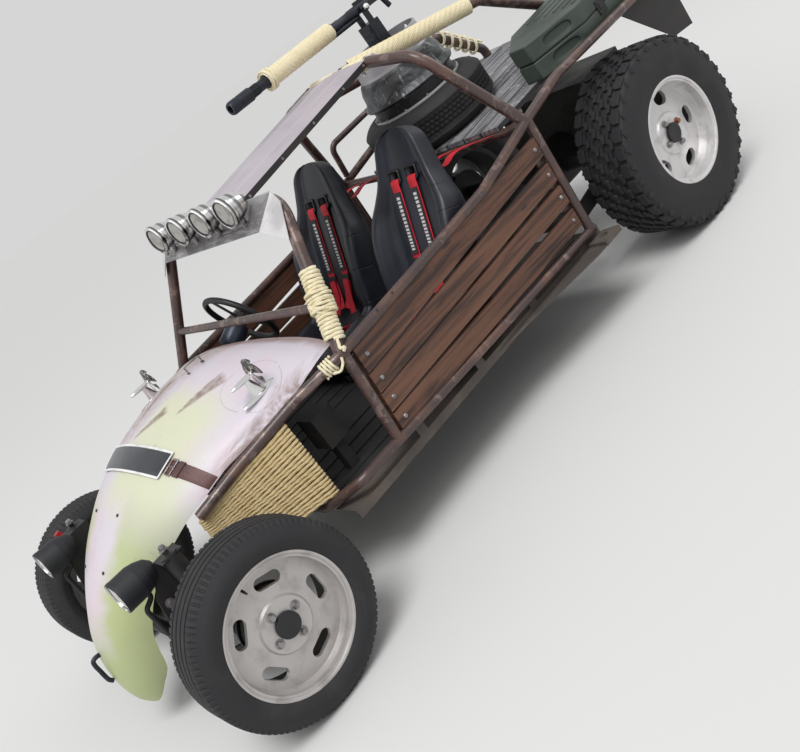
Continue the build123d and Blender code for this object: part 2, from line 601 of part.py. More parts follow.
# Floor, spine, running boards with their rear brackets, tabs to the lower rails.
BRACKET_HOLE_R = 18.0
BRACKET_X, BRACKET_Y = -556.0, 640.0
floor = block((-600, -FLOOR_HALF_Y, FLOOR_TOP - FLOOR_THICK), (862, FLOOR_HALF_Y, FLOOR_TOP))
floor_bits = [
    block((TORSION_X, -60, 258), (BEAM_X - 28.0, 60, FLOOR_TOP - 2.0)),
    block((BEAM_X - 70.0, -60, axle_z - BEAM_HALF_Z), (BEAM_X - 4.0, 60, axle_z + BEAM_HALF_Z)),
]
torsion_cut = Pos(TORSION_X, 0, TORSION_Z) * Rot(90, 0, 0) * Cylinder(TORSION_R + WELD_GAP, TORSION_LONG)
for y in (-480, -390, -300, -210, -120, 120, 210, 300, 390, 480):
    floor_bits.append(block((-560, y - 14, FLOOR_TOP - 1.0), (840, y + 14, FLOOR_TOP + 5.0)))
side_bits = [
    block((-600, FLOOR_HALF_Y - 4.0, 268), (862, FLOOR_HALF_Y, FLOOR_TOP)),
    plan_plate([(150, 580), (-440, 686), (-560, 690), (-560, 580)], 281.0, 285.0),
    block((-560, 580, 281), (140, 590, FLOOR_TOP - 1.0)),
    plan_plate([(-500, 604), (-500, 690), (-600, 690), (-612, 678), (-590, 604)], 280.0, 298.0),
]
(rail_rear_x, _, rail_rear_z), (rail_front_x, _, rail_front_z) = LOWER_RAIL[:2]
for x in (-480, -150, 180, 510):
    level = rail_rear_z + (x - rail_rear_x) * (rail_front_z - rail_rear_z) / (rail_front_x - rail_rear_x)
    side_bits.append(block((x - 20, FLOOR_HALF_Y - 6.0, 290), (x + 20, FLOOR_HALF_Y, level)))
hole = Pos(BRACKET_X, BRACKET_Y, 290) * Cylinder(BRACKET_HOLE_R, 60)
floorpan = floor + floor_bits + side_bits + [mirrored(b) for b in side_bits]
floorpan = floorpan - [hole, mirrored(hole), torsion_cut] - foot_cut - beam_cut
save("floorpan", floorpan.solids().sort_by(SortBy.VOLUME)[-1])
BULKHEAD = [(846, FLOOR_TOP + WELD_GAP), (850, FLOOR_TOP + WELD_GAP), (990, 640), (986, 640)]
BULKHEAD_HALF = 340.0
bulkhead = side_plate(BULKHEAD, -BULKHEAD_HALF, BULKHEAD_HALF) - foot_cut
save("bulkhead", bulkhead.solids().sort_by(SortBy.VOLUME)[-1])
box_body = block((626, 300, 415), (716, 400, 536)) - Pos(626, 340, 500) * Rot(0, 90, 0) * Cylinder(14, 20)
box_stand = block((650, 330, FLOOR_TOP + WELD_GAP), (690, 372, 416))
save("battery_box", box_body + box_stand)

# Rope panels: rope wound between three posts, from the lower rail to the upper one.
PANEL = ((1178, 382), (1015, 440), (836, 490))
PANEL_LEVELS = ((392, 572), (356, 602), (338, 630))
PANEL_HALF = 11.0
panel_bits = []
for (x0, y0), (x1, y1), (low0, high0), (low1, high1) in (
    (PANEL[0], PANEL[1], PANEL_LEVELS[0], PANEL_LEVELS[1]),
    (PANEL[1], PANEL[2], PANEL_LEVELS[1], PANEL_LEVELS[2]),
):
    run = hypot(x1 - x0, y1 - y0)
    wide = Plane((x0, y0, 0), x_dir=(x1 - x0, y1 - y0, 0), z_dir=(y1 - y0, x0 - x1, 0))
    face = wide * make_face(Polyline((0, low0), (run, low1), (run, high1), (0, high0), close=True))
    panel_bits.append(extrude(face, PANEL_HALF, both=True))
for (x, y), (low, high) in zip(PANEL, PANEL_LEVELS):
    panel_bits.append(Pos(x, y, (low + high) / 2) * Cylinder(PANEL_HALF, high - low - 2.0))
panel_bits.append(pipe([(PANEL[2][0], PANEL[2][1], 320), (PANEL[2][0], PANEL[2][1], 655)], 9.0))
panel_bits.append(pipe([(PANEL[1][0], PANEL[1][1], 400), (PANEL[1][0], PANEL[1][1], 622)], 9.0))
panel = panel_bits[0] + panel_bits[1:] - [upper_rail_cut, lower_rail_cut]
panel = panel.solids().sort_by(SortBy.VOLUME)[-1]
save("rope_panel_left", panel)
save("rope_panel_right", mirrored(panel))

# Rope lashings: sleeves on tubes, and open rings along the right tail stay.
ROPE_BORE = RUBBER_GAP
stay_run = Vector(*LEFT_STAY[1]) - Vector(*LEFT_STAY[0])
sleeve_stay = pipe([Vector(*LEFT_STAY[0]) + stay_run * 0.0545, Vector(*LEFT_STAY[0]) + stay_run * 0.928], 35.0)
sleeve_stay = sleeve_stay - pipe([LEFT_STAY[0], LEFT_STAY[1]], STAY_R + ROPE_BORE)
sleeve_bar = pipe([Vector(*REAR_BAR[0]) + Vector(0, 42, 0), Vector(*REAR_BAR[1]) - Vector(0, 42, 0)], REAR_BAR_R + 8.0)
sleeve_bar = sleeve_bar - [pipe(REAR_BAR, REAR_BAR_R + ROPE_BORE), pipe([LEFT_STAY[0], LEFT_STAY[1]], 36.0)]
roof_clear = extrude(Plane(ROOF_FRONT, x_dir=(0, 1, 0), z_dir=-roof_run) * Rectangle(440, 60), roof_run.length + 0.4,
                     dir=roof_run)
sleeve_bar = sleeve_bar - roof_clear
along = SCREEN_CORNER - SCREEN_BASE
lash_low, lash_high = SCREEN_BASE + along * 0.07, SCREEN_BASE + along * 0.52
sleeve_post = pipe([lash_low, lash_high], 37.0) + pipe([SCREEN_BASE + along * 0.25, SCREEN_BASE + along * 0.36], 46.0)
sleeve_post = sleeve_post - [pipe([SCREEN_BASE, split_end], HOOP_R + ROPE_BORE)] - rail_clear
sleeve_post = sleeve_post - pipe(CROSSBAR, CROSSBAR_R + ROPE_BORE)
rail_bend = Vector(*UPPER_RAIL[3])
rail_dir = (Vector(*UPPER_RAIL[2]) - rail_bend).normalized()
lash_rail_a = rail_bend + rail_dir * 52
lash_rail_b = rail_bend + rail_dir * 102
sleeve_rail = pipe([lash_rail_a, lash_rail_b], 29.0) - rail_clear
RING_PROFILE = ((0.4, -9), (13, -9), (18, -4), (18, 4), (13, 9), (0.4, 9))
ring = turned([(STAY_R + rise, along_stay) for rise, along_stay in RING_PROFILE])
rings = []
stay_a, stay_b = Vector(*RIGHT_STAY[0]), Vector(*RIGHT_STAY[1])
for i in range(9):
    spot = stay_a + (stay_b - stay_a) * (0.30 + 0.072 * i)
    rings.append(Plane(spot, z_dir=stay_b - stay_a) * ring)
lashings = [sleeve_stay, sleeve_bar, sleeve_post, sleeve_rail] + rings
save("rope_lashings", Compound(children=[s for piece in lashings for s in piece.solids()]))

# Deck of boards on battens, tilted up to the rear.
deck_place = Pos(DECK_FRONT_X, 0, DECK_FRONT_Z) * Rot(0, DECK_TILT, 0)
deck_half = BOARD_COUNT * BOARD_PITCH / 2
boards = []
for i in range(BOARD_COUNT):
    y = -deck_half + (i + 0.5) * BOARD_PITCH
    boards.append(block((-DECK_LENGTH, y - BOARD_WIDTH / 2, -BOARD_THICK), (0, y + BOARD_WIDTH / 2, 0)))
battens = [block((x - 30, -deck_half + 6, -BOARD_THICK - 16), (x + 30, deck_half - 6, -BOARD_THICK + 2))
           for x in (-120, -500, -880)]
deck = deck_place * (boards[0] + boards[1:] + battens)
save("deck", deck)

# Turret: a tyre lying flat, steel rims stacked in it and the slotted top ring.
turret_place = Pos(TURRET_X, TURRET_Y, deck_top(TURRET_X) + RUBBER_GAP) * Rot(0, DECK_TILT, 0)
half_width = TURRET_TYRE_WIDTH / 2
flat_tyre = turned([
    (196, 4), (236, 0), (262, 12), (TURRET_TYRE_R, 34), (TURRET_TYRE_R, TURRET_TYRE_WIDTH - 34),
    (262, TURRET_TYRE_WIDTH - 12), (236, TURRET_TYRE_WIDTH), (209, TURRET_TYRE_WIDTH - 4), (196, TURRET_TYRE_WIDTH - 8),
])
save("turret_tyre", turret_place * flat_tyre)
stack = turned([
    (0, 3), (195.7, 3), (195.7, TURRET_TYRE_WIDTH - 8), (208, TURRET_TYRE_WIDTH - 3), (208, TURRET_TYRE_WIDTH + 5),
    (192, TURRET_TYRE_WIDTH + 12), (192, 222), (210, 230), (214, 238), (206, 248), (196, 262), (190, 300),
    (176, 330), (RING_R + 4, 340), (RING_R, 352), (RING_R, RING_TOP), (RING_R - 7, RING_TOP), (RING_R - 7, RING_FLOOR),
    (0, RING_FLOOR),
])
ring_slot = Pos(RING_R, 0, 396) * Rot(0, 90, 0) * extrude(SlotOverall(44, 24), 20, both=True)
stack = stack - [Rot(0, 0, 45 * i) * ring_slot for i in range(8)]
save("turret_rims", turret_place * stack)

# Gun: swivel box with a fork, and the prop gun on its trunnion.
PIN_R = 7.0
FORK_Y = 27.0
swivel = block((-34, -34, RING_FLOOR + 0.4), (34, 34, 520)) + [Pos(0, 0, RING_FLOOR + 10.4) * Cylinder(60, 20)]
swivel = swivel + [block((-14, y0, 515), (14, y1, PIVOT_RISE + 16)) for y0, y1 in ((-34, -FORK_Y), (FORK_Y, 34))]
fork_bore = Pos(0, 0, PIVOT_RISE) * Rot(90, 0, 0) * Cylinder(PIN_R + 0.4, 100)
save("gun_swivel", turret_place * (swivel - fork_bore))
pivot = (turret_place * Pos(0, 0, PIVOT_RISE)).position
gun_plane = Plane(pivot + Vector(0, 0, 8), z_dir=(1, 0, 0))
barrel = gun_plane * turned([
    (0, -150), (18, -150), (20, -140), (20, 170), (33, 172), (33, 560),
    (21, 562), (21, 640), (27, 644), (27, 748), (19, 754), (0, 754),
])
under = Plane(pivot + Vector(0, 0, -16), z_dir=(1, 0, 0)) * turned([(0, 20), (11, 20), (11, 171), (0, 171)])
trunnion = Pos(*pivot) * Rot(90, 0, 0) * Cylinder(PIN_R, 68)
grip = pipe([pivot + Vector(-132, 0, 0), pivot + Vector(-152, 0, -58)], 12.0)
gun = barrel + [under, trunnion, grip]
save("gun", gun)

# Moulded case on the deck.
CASE_PLAN = [(-290, 358), (-290, 446), (-500, 574), (-1010, 574), (-1010, 214), (-492, 214)]
CASE_HIGH = 146.0
case_low = plan_plate(CASE_PLAN, 0.4, CASE_HIGH / 2 - 3)
case_high = plan_plate(CASE_PLAN, CASE_HIGH / 2 + 3, CASE_HIGH)
seam_plan = [(x * 0.985 - 6, 394 + (y - 394) * 0.975) for x, y in CASE_PLAN]
case_seam = plan_plate(seam_plan, CASE_HIGH / 2 - 4, CASE_HIGH / 2 + 4)
chamfer_mid = Plane(((-290 - 500) / 2, (446 + 574) / 2, 0), x_dir=(-210, 128, 0), z_dir=(128, 210, 0))
ovals = [chamfer_mid * (Pos(20, level, 0) * extrude(SlotOverall(150, 42), 8, both=True)) for level in (37, 109)]
case = deck_place * (case_low + [case_seam, case_high] - ovals)
save("case", case)

# Seats: back with head and shoulder wings, cushion with side wings, harness slots.
lean = radians(BACK_LEAN)
back_plane = Plane((HIP_X, SEAT_Y, HIP_Z), x_dir=(0, 1, 0), z_dir=(cos(lean), 0, sin(lean)))
head = make_face([
    Polyline((-118, 600), (-150, 500), (-SEAT_HALF, 380), (-SEAT_HALF, -40),
             (SEAT_HALF, -40), (SEAT_HALF, 380), (150, 500), (118, 600)),
    ThreePointArc((118, 600), (0, BACK_LENGTH), (-118, 600)),
])
back = back_plane * Pos(0, 0, -BACK_THICK) * extrude(head, BACK_THICK)
slots = [back_plane * Pos(u, 508, -BACK_THICK / 2) * Box(46, 34, 2 * BACK_THICK) for u in (-46, 46)]
wing_outline = [(-30, -30), (78, 10), (92, 290), (40, 430), (-30, 470)]
wings = []
for y0, y1 in ((SEAT_HALF - WING_WIDTH, SEAT_HALF), (-SEAT_HALF, WING_WIDTH - SEAT_HALF)):
    flat = Plane((HIP_X, SEAT_Y + y1, HIP_Z), x_dir=(cos(lean), 0, sin(lean)), z_dir=(0, -1, 0))
    wings.append(extrude(flat * make_face(Polyline(*wing_outline, close=True)), y1 - y0))
CUSHION = [(-80, 335), (262, 352), (284, 380), (276, 452), (240, 462), (0, 418), (-70, 418)]
THIGH = [(-60, 345), (270, 372), (276, 470), (200, 500), (20, 500), (-40, 430)]
cushion = side_plate(CUSHION, SEAT_Y - SEAT_HALF, SEAT_Y + SEAT_HALF)
thighs = [side_plate(THIGH, SEAT_Y + a, SEAT_Y + b) for a, b in
          ((SEAT_HALF - WING_WIDTH, SEAT_HALF), (-SEAT_HALF, WING_WIDTH - SEAT_HALF))]
base = block((-60, SEAT_Y - 170, FLOOR_TOP + 5.3), (240, SEAT_Y + 170, 360))
seat = back + wings + [cushion, base] + thighs - slots
save("seats", Compound(children=list(seat.solids()) + list(mirrored(seat).solids())))

# Harness straps on the backs, through the slots and back to the front cross tube.
STRAP_WIDE = 42.0
STRAP_THICK = 2.6
STRAP_GAP = 0.4
forward = Vector(cos(lean), 0, sin(lean))
up = Vector(-sin(lean), 0, cos(lean))


def on_back(rise, off):
    """Point of the (x, z) side view on a seat back at a rise and an offset in front."""
    spot = Vector(HIP_X, 0, HIP_Z) + up * rise + forward * off
    return spot.X, spot.Z


cross_x, _, cross_z = FRONT_CROSS[1]
strap_front = [on_back(498, -10), on_back(492, STRAP_GAP), on_back(60, STRAP_GAP),
               on_back(60, STRAP_GAP + STRAP_THICK), on_back(494, STRAP_GAP + STRAP_THICK), on_back(501, -7)]
strap_rear = [on_back(499, -12), on_back(497, -BACK_THICK - 4),
              (cross_x + CROSS_R - 2.3, cross_z + 9.6), (cross_x + CROSS_R - 0.6, cross_z + 13.0),
              on_back(500.5, -BACK_THICK - 4), on_back(503, -10)]
straps = []
for centre in (SEAT_Y - 46, SEAT_Y + 46, -SEAT_Y - 46, -SEAT_Y + 46):
    for outline in (strap_front, strap_rear):
        straps += side_plate(outline, centre - STRAP_WIDE / 2, centre + STRAP_WIDE / 2).solids()
save("harness", Compound(children=straps))

# Steering column with its instrument can, and the steering wheel.
COLUMN_TOP = Vector(392, -300, 755)
COLUMN_AXIS = Vector(0.9197, 0, -0.3927)
WHEEL_R = 146.0
WHEEL_TUBE = 12.0
column_plane = Plane(COLUMN_TOP, z_dir=COLUMN_AXIS)
column = column_plane * turned([
    (0, -24), (9, -24), (9, 8), (22, 8), (42, 14), (44, 100), (26, 112), (18, 114), (18, 610), (0, 610),
])
(foot_x, foot_z), _, _, (head_x, head_z) = BULKHEAD
bulkhead_cut = side_plate([(foot_x - WELD_GAP, foot_z), (1300, foot_z), (1300, head_z), (head_x - WELD_GAP, head_z)],
                          -BULKHEAD_HALF, BULKHEAD_HALF)
column = (column - bulkhead_cut).solids().sort_by(SortBy.VOLUME)[-1]
save("steering_column", column)
wheel_hub = turned([(9.4, -30), (30, -30), (30, -2), (9.4, -2)])
spokes = [Rot(0, 0, a) * Pos(WHEEL_R / 2 + 10, 0, -16) * Box(WHEEL_R - 20, 22, 4) for a in (0, 120, 240)]
wheel_ring = Pos(0, 0, -16) * Torus(WHEEL_R, WHEEL_TUBE)
save("steering_wheel", column_plane * (wheel_hub + spokes + wheel_ring))

# Rear axle with gearbox, swing tubes and spring plates; engine as one plain block.
ENGINE_FRONT_X = -1250.0
rear_z = TYRE_REAR_R
gearbox = Plane((-800, 0, rear_z), z_dir=(-1, 0, 0)) * turned([(0, 0), (60, 0), (104, 60), (104, 449.8), (0, 449.8)])
torsion = Pos(TORSION_X, 0, TORSION_Z) * Rot(90, 0, 0) * Cylinder(TORSION_R, TORSION_LONG)
swing = Pos(AXLE_REAR_X, 0, rear_z) * Rot(90, 0, 0) * Cylinder(32, 1000)
fork = pipe([(TORSION_X, 120, TORSION_Z), (TORSION_X - 160, 70, TORSION_Z + 34)], 26.0)
spring = side_plate([(TORSION_X + 14, 348), (TORSION_X + 14, 286), (AXLE_REAR_X + 8, 330), (AXLE_REAR_X - 30, 400),
                     (AXLE_REAR_X + 16, 412)], 424.0, 432.0)
hubs = [wheel_plane(AXLE_REAR_X, WHEEL_REAR_Y, rear_z, s) * stub(-160.0) for s in (1, -1)]
rear_axle = gearbox + [torsion, swing, fork, mirrored(fork), spring, mirrored(spring)] + hubs
save("rear_axle", rear_axle)
save("engine_block", block((-1555, -260, 330), (ENGINE_FRONT_X, 260, 650)))
GUARD_PLATE = [(-1255, 852), (-1562, 852), (-1640, 770), (-1650, 590), (-1510, 606)]
plate_left = side_plate(GUARD_PLATE, RAIL_Y - RAIL_R - 4.2, RAIL_Y - RAIL_R - 0.2)
tail_clear = pipe(TAIL_CROSS, CROSS_R + WELD_GAP)
plate_left = (plate_left - tail_clear).solids().sort_by(SortBy.VOLUME)[-1]
save("rear_guard_left", plate_left)
save("rear_guard_right", mirrored(plate_left))
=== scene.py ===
import math

import bpy
import numpy as np
from mathutils import Matrix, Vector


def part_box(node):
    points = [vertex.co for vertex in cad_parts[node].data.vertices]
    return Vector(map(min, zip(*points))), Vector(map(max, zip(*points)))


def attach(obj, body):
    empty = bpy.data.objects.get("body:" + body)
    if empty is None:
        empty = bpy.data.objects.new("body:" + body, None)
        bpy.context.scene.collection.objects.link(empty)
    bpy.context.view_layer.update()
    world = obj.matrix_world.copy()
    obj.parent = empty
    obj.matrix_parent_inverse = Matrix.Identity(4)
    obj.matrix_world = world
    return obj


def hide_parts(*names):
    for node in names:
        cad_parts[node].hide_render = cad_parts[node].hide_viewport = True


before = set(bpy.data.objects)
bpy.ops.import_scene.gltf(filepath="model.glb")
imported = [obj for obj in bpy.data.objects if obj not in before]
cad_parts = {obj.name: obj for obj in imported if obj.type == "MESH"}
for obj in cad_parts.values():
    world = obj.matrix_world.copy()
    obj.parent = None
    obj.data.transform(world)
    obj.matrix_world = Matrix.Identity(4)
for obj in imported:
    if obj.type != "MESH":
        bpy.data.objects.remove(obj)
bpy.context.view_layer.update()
rng = np.random.default_rng(11)
TAU = 2 * math.pi

# Camera: fitted to the photograph, which is itself rolled.
EYE = (1.876, 3.121, 1.622)
YAW, PITCH, ROLL = math.radians(-119.235), math.radians(21.18), math.radians(36.28)
FOCAL_PX, IMAGE_WIDE, SENSOR_MM = 980.0, 800.0, 36.0

# The car's own places, in metres, as in the construction: x ahead, y to its left, z up.
UP = (0.0, 0.0, 1.0)
AHEAD = (1.0, 0.0, 0.0)
SIDES = ((1, "left"), (-1, "right"))
FRONT_HUB = (1.280, 0.653, 0.297)
REAR_HUB = (-1.120, 0.605, 0.370)
DECK_TILT = math.radians(3.07)
DECK_FRONT = (-0.600, 0.805)
DECK_UP = (math.sin(DECK_TILT), 0.0, math.cos(DECK_TILT))
BOARD_START, BOARD_PITCH = -0.412, 0.103
TURRET = (-0.805, -0.115)
TURRET_FOOT = DECK_FRONT[1] + (DECK_FRONT[0] - TURRET[0]) * math.tan(DECK_TILT)
SEAT_Y = 0.300
HIP = (-0.020, 0.415)
BACK_LEAN = math.radians(21.6)
BACK_UP = (-math.sin(BACK_LEAN), 0.0, math.cos(BACK_LEAN))
BACK_AHEAD = (math.cos(BACK_LEAN), 0.0, math.sin(BACK_LEAN))
STEERING_HUB = (0.392, -0.300, 0.755)
COLUMN_AXIS = (0.9197, 0.0, -0.3927)
SHOCK_TOP, SHOCK_FOOT = (1.334, 0.436, 0.612), (1.334, 0.494, 0.236)
LOWER_POST = (0.580, 0.592, 0.700)
UPPER_POST = (0.345, 0.445, 1.150)
UPPER_RAIL = ((1.186, 0.403, 0.588), (1.015, 0.446, 0.624), (0.770, 0.506, 0.663), (0.596, 0.600, 0.695),
              (0.071, 0.600, 0.721), (-0.217, 0.600, 0.737), (-0.550, 0.600, 0.805))


def srgb(red, green, blue):
    """Linear colour of a display colour given from 0 to 255."""
    share = np.array([red, green, blue]) / 255.0
    return tuple(float(x) for x in np.where(share <= 0.04045, share / 12.92, ((share + 0.055) / 1.055) ** 2.4))


class Value:
    """A socket of a material's graph; arithmetic on it adds Math nodes."""

    def __init__(self, paint, socket):
        self.paint, self.socket = paint, socket

    def math(self, operation, *others):
        """The value and others through a Math node."""
        return self.paint.node("ShaderNodeMath", {"operation": operation}, dict(enumerate((self, *others))))

    def __add__(self, other):
        return self.math("ADD", other)

    def __sub__(self, other):
        return self.math("SUBTRACT", other)

    def __mul__(self, other):
        return self.math("MULTIPLY", other)

    def __truediv__(self, other):
        return self.math("DIVIDE", other)

    def __rsub__(self, other):
        return self.paint.node("ShaderNodeMath", {"operation": "SUBTRACT"}, {0: other, 1: self})

    __radd__ = __add__
    __rmul__ = __mul__


class Paint:
    """A material: one Principled shader and the graph that feeds it."""

    def __init__(self, name):
        self.material = bpy.data.materials.new(name)
        self.material.use_nodes = True
        self.tree = self.material.node_tree
        self.shader = self.tree.nodes["Principled BSDF"]
        self.place = self.node("ShaderNodeTexCoord", {}, {}, "Object")
        self.chart = Value(self, self.place.socket.node.outputs["UV"])

    def plug(self, socket, value):
        """Links a Value to a socket, or sets the socket to a number or a colour."""
        if isinstance(value, Value):
            self.tree.links.new(value.socket, socket)
        elif isinstance(value, tuple):
            socket.default_value = value + (1.0,) * (len(socket.default_value) - len(value))
        else:
            socket.default_value = value

    def node(self, kind, settings, inputs, output=0):
        """Any node: its settings first, then the values or links of its sockets."""
        made = self.tree.nodes.new(kind)
        for key, value in settings.items():
            setattr(made, key, value)
        for key, value in inputs.items():
            self.plug(made.inputs[key], value)
        return Value(self, made.outputs[output])

    def stretched(self, stretch, turn=(0.0, 0.0, 0.0), source=None):
        """The place on the piece, turned and stretched."""
        return self.node("ShaderNodeMapping", {}, {"Vector": source or self.place, "Scale": stretch, "Rotation": turn})

    def noise(self, scale, detail=4.0, rough=0.55, stretch=(1.0, 1.0, 1.0), bend=0.0, source=None):
        """Cloudy noise from 0 to 1, finer with a greater scale."""
        return self.node("ShaderNodeTexNoise", {}, {"Vector": self.stretched(stretch, source=source), "Scale": scale,
                                                    "Detail": detail, "Roughness": rough, "Distortion": bend})

    def axes(self, source=None):
        """The three parts of the place, x, y and z."""
        first = self.node("ShaderNodeSeparateXYZ", {}, {0: source or self.place})
        return first, Value(self, first.socket.node.outputs[1]), Value(self, first.socket.node.outputs[2])

    def step(self, value, low, high):
        """Smooth step from 0 at low to 1 at high."""
        return self.node("ShaderNodeMapRange", {"interpolation_type": "SMOOTHSTEP"},
                         {"Value": value, "From Min": low, "From Max": high})

    def near(self, value, centre, half, soft):
        """1 where value is within half of centre, fading over soft."""
        return 1 - self.step((value - centre).math("ABSOLUTE"), half, half + soft)

    def mix(self, share, first, second):
        """Colour between two, the second by the share."""
        return self.node("ShaderNodeMix", {"data_type": "RGBA"}, {0: share, 6: first, 7: second}, 2)

    def layers(self, base, *coats):
        """Colour of a base with coats of (share, colour) over it."""
        for share, colour in coats:
            base = self.mix(share, base, colour)
        return base

    def finish(self, colour, roughness, metallic=0.0, bump=None, strength=0.3, depth=0.002, **others):
        """Feeds the shader and gives back the material."""
        self.plug(self.shader.inputs["Base Color"], colour)
        self.plug(self.shader.inputs["Roughness"], roughness)
        self.plug(self.shader.inputs["Metallic"], metallic)
        for key, value in others.items():
            self.plug(self.shader.inputs[key.replace("_", " ")], value)
        if bump is not None:
            bent = self.node("ShaderNodeBump", {}, {"Height": bump, "Strength": strength, "Distance": depth})
            self.plug(self.shader.inputs["Normal"], bent)
        return self.material


def rusty_tube():
    """Brown rusted tube under clear lacquer, with pale streaks that are partly wear and partly painted highlights, a
    little more of them higher up.
    """
    p = Paint("rusty_tube")
    patch, speck = p.noise(7.0, 5.0), p.noise(60.0, 4.0, 0.65)
    # Pale streaks: partly wear, partly painted highlights; the mask rises slightly with height.
    worn = p.step(p.noise(13.0, 6.0, 0.7, bend=0.6) + p.axes()[2] * 0.04, 0.56, 0.66)
    colour = p.layers(srgb(62, 44, 41), (p.step(patch, 0.45, 0.7), srgb(92, 62, 52)),
                      (p.step(speck, 0.55, 0.75), srgb(38, 29, 30)), (worn * 0.5, srgb(152, 130, 122)))
    return p.finish(colour, 0.46 - worn * 0.16 + speck * 0.14, worn * 0.4, speck, 0.25, 0.001, Coat_Weight=0.5,
                    Coat_Roughness=0.18)


def bonnet_paint():
    """Lilac-white primer with pink clouds and pale green drifts, mottled brown stains and browned edges."""
    p = Paint("bonnet_paint")
    x, y, z = p.axes()
    cloud, fine = p.noise(3.2, 5.0, 0.6, bend=0.8), p.noise(34.0, 6.0, 0.75)
    streak = p.noise(9.0, 5.0, 0.65, stretch=(0.35, 1.0, 1.0), bend=0.5)
    side = y.math("ABSOLUTE")

    def stain(at_x, at_y, lead_x, lead_y, half_long, half_wide):
        """Wedge-shaped mark at a place, pointing along a lead."""
        along = (x - at_x) * lead_x + (y - at_y) * lead_y + cloud * 0.05 - 0.025
        across = (y - at_y) * lead_x - (x - at_x) * lead_y + fine * 0.02 - 0.01
        wide = half_wide - along * 0.17
        return p.step(wide - across.math("ABSOLUTE"), -0.010, 0.008) * p.near(along, 0.0, half_long, 0.03)

    crest = p.near(x + cloud * 0.16 - 0.08, 1.07, 0.13, 0.15) * p.near(y + cloud * 0.2 - 0.1, 0.14, 0.11, 0.16)
    nose = p.step(side * 3.2 + cloud * 0.8, 0.62, 0.95) * p.step(x, 1.18, 1.40)
    low = p.step(0.42 - z + cloud * 0.14, 0.0, 0.18)
    lower = (nose + low).math("MINIMUM", 1.0)
    marks = stain(0.866, 0.176, 0.886, -0.463, 0.080, 0.020) + stain(1.000, -0.010, 0.807, -0.590, 0.060, 0.014)
    marks = marks + stain(0.900, -0.170, 0.95, 0.10, 0.10, 0.012) + stain(0.700, -0.250, 0.97, -0.20, 0.09, 0.009) * 0.7
    dirt = p.step(0.02 - y - (x - 0.6) * 0.20 + streak * 0.22, 0.07, 0.24) * p.step(1.24 - x, 0.0, 0.25)
    rear_edge = p.step(0.575 - x + streak * 0.05, 0.0, 0.05)
    flank = p.step(side + streak * 0.05 - (1.20 - x).math("MAXIMUM", 0.0) * 0.215 - 0.374, 0.0, 0.05)
    rust = (rear_edge + flank * p.step(1.25 - x, 0.0, 0.2) * p.step(streak, 0.40, 0.55)).math("MINIMUM", 1.0)
    fleck = p.step(streak * 0.6 + fine * 0.4, 0.60, 0.68)
    mottle = marks.math("MINIMUM", 1.0) * (0.55 + p.step(fine, 0.40, 0.60) * 0.40)
    ring = ((x - 0.78) * (x - 0.78) + (y - 0.36) * (y - 0.36)).math("SQRT")
    scratch = p.near(ring + cloud * 0.02, 0.115, 0.0008, 0.0014) * p.step(fine, 0.42, 0.55) * 0.5
    colour = p.layers(srgb(206, 199, 209), (p.step(cloud, 0.46, 0.62) * 0.45, srgb(212, 190, 196)),
                      (dirt * (0.35 + p.step(fine, 0.40, 0.60) * 0.40), srgb(146, 124, 112)),
                      (crest * 0.75, srgb(206, 211, 172)), (lower * 0.88, srgb(172, 184, 122)),
                      (p.step(fine, 0.60, 0.74) * 0.22, srgb(196, 160, 152)), (mottle, srgb(132, 112, 100)),
                      (rust * 0.75, srgb(122, 94, 82)), (rust * fleck, srgb(80, 56, 48)),
                      (fleck * 0.25, srgb(140, 110, 98)), (scratch, srgb(150, 122, 116)))
    relief = cloud * 0.6 + fine * 0.12 - rust * 0.08
    return p.finish(colour, 0.34 + rust * 0.3 + mottle * 0.2 + fine * 0.1, 0.0, relief, 0.35, 0.006)


def rope_fibre(name, pale, tan, shade):
    """Natural rope, browner between the strands."""
    p = Paint(name)
    thread, tone = p.noise(420.0, 3.0), p.noise(11.0, 3.0)
    colour = p.layers(srgb(*pale), (p.step(tone, 0.4, 0.7) * 0.5, srgb(*tan)),
                      (p.step(thread, 0.56, 0.72) * 0.5, srgb(*shade)))
    return p.finish(colour, 0.85, 0.0, thread, 0.5, 0.0015)


def plank_wood():
    """Dark oiled planks with long grain, pale worn streaks and knots."""
    p = Paint("plank_wood")
    grain = p.noise(46.0, 6.0, 0.65, stretch=(0.05, 1.0, 1.0), bend=0.7)
    board = p.noise(3.0, 2.0, stretch=(0.25, 1.0, 3.0))
    knot = p.node("ShaderNodeTexVoronoi", {"distance": "EUCLIDEAN"},
                  {"Vector": p.stretched((1.6, 0.1, 6.0)), "Scale": 1.9})
    spot = 1 - p.step(knot, 0.05, 0.10)
    colour = p.layers(srgb(96, 63, 47), (p.step(grain, 0.44, 0.60), srgb(50, 33, 27)),
                      (p.step(board, 0.45, 0.75) * 0.5, srgb(124, 86, 66)), (spot * 0.8, srgb(38, 25, 21)))
    return p.finish(colour, 0.46 + grain * 0.2, 0.0, grain, 0.35, 0.002)


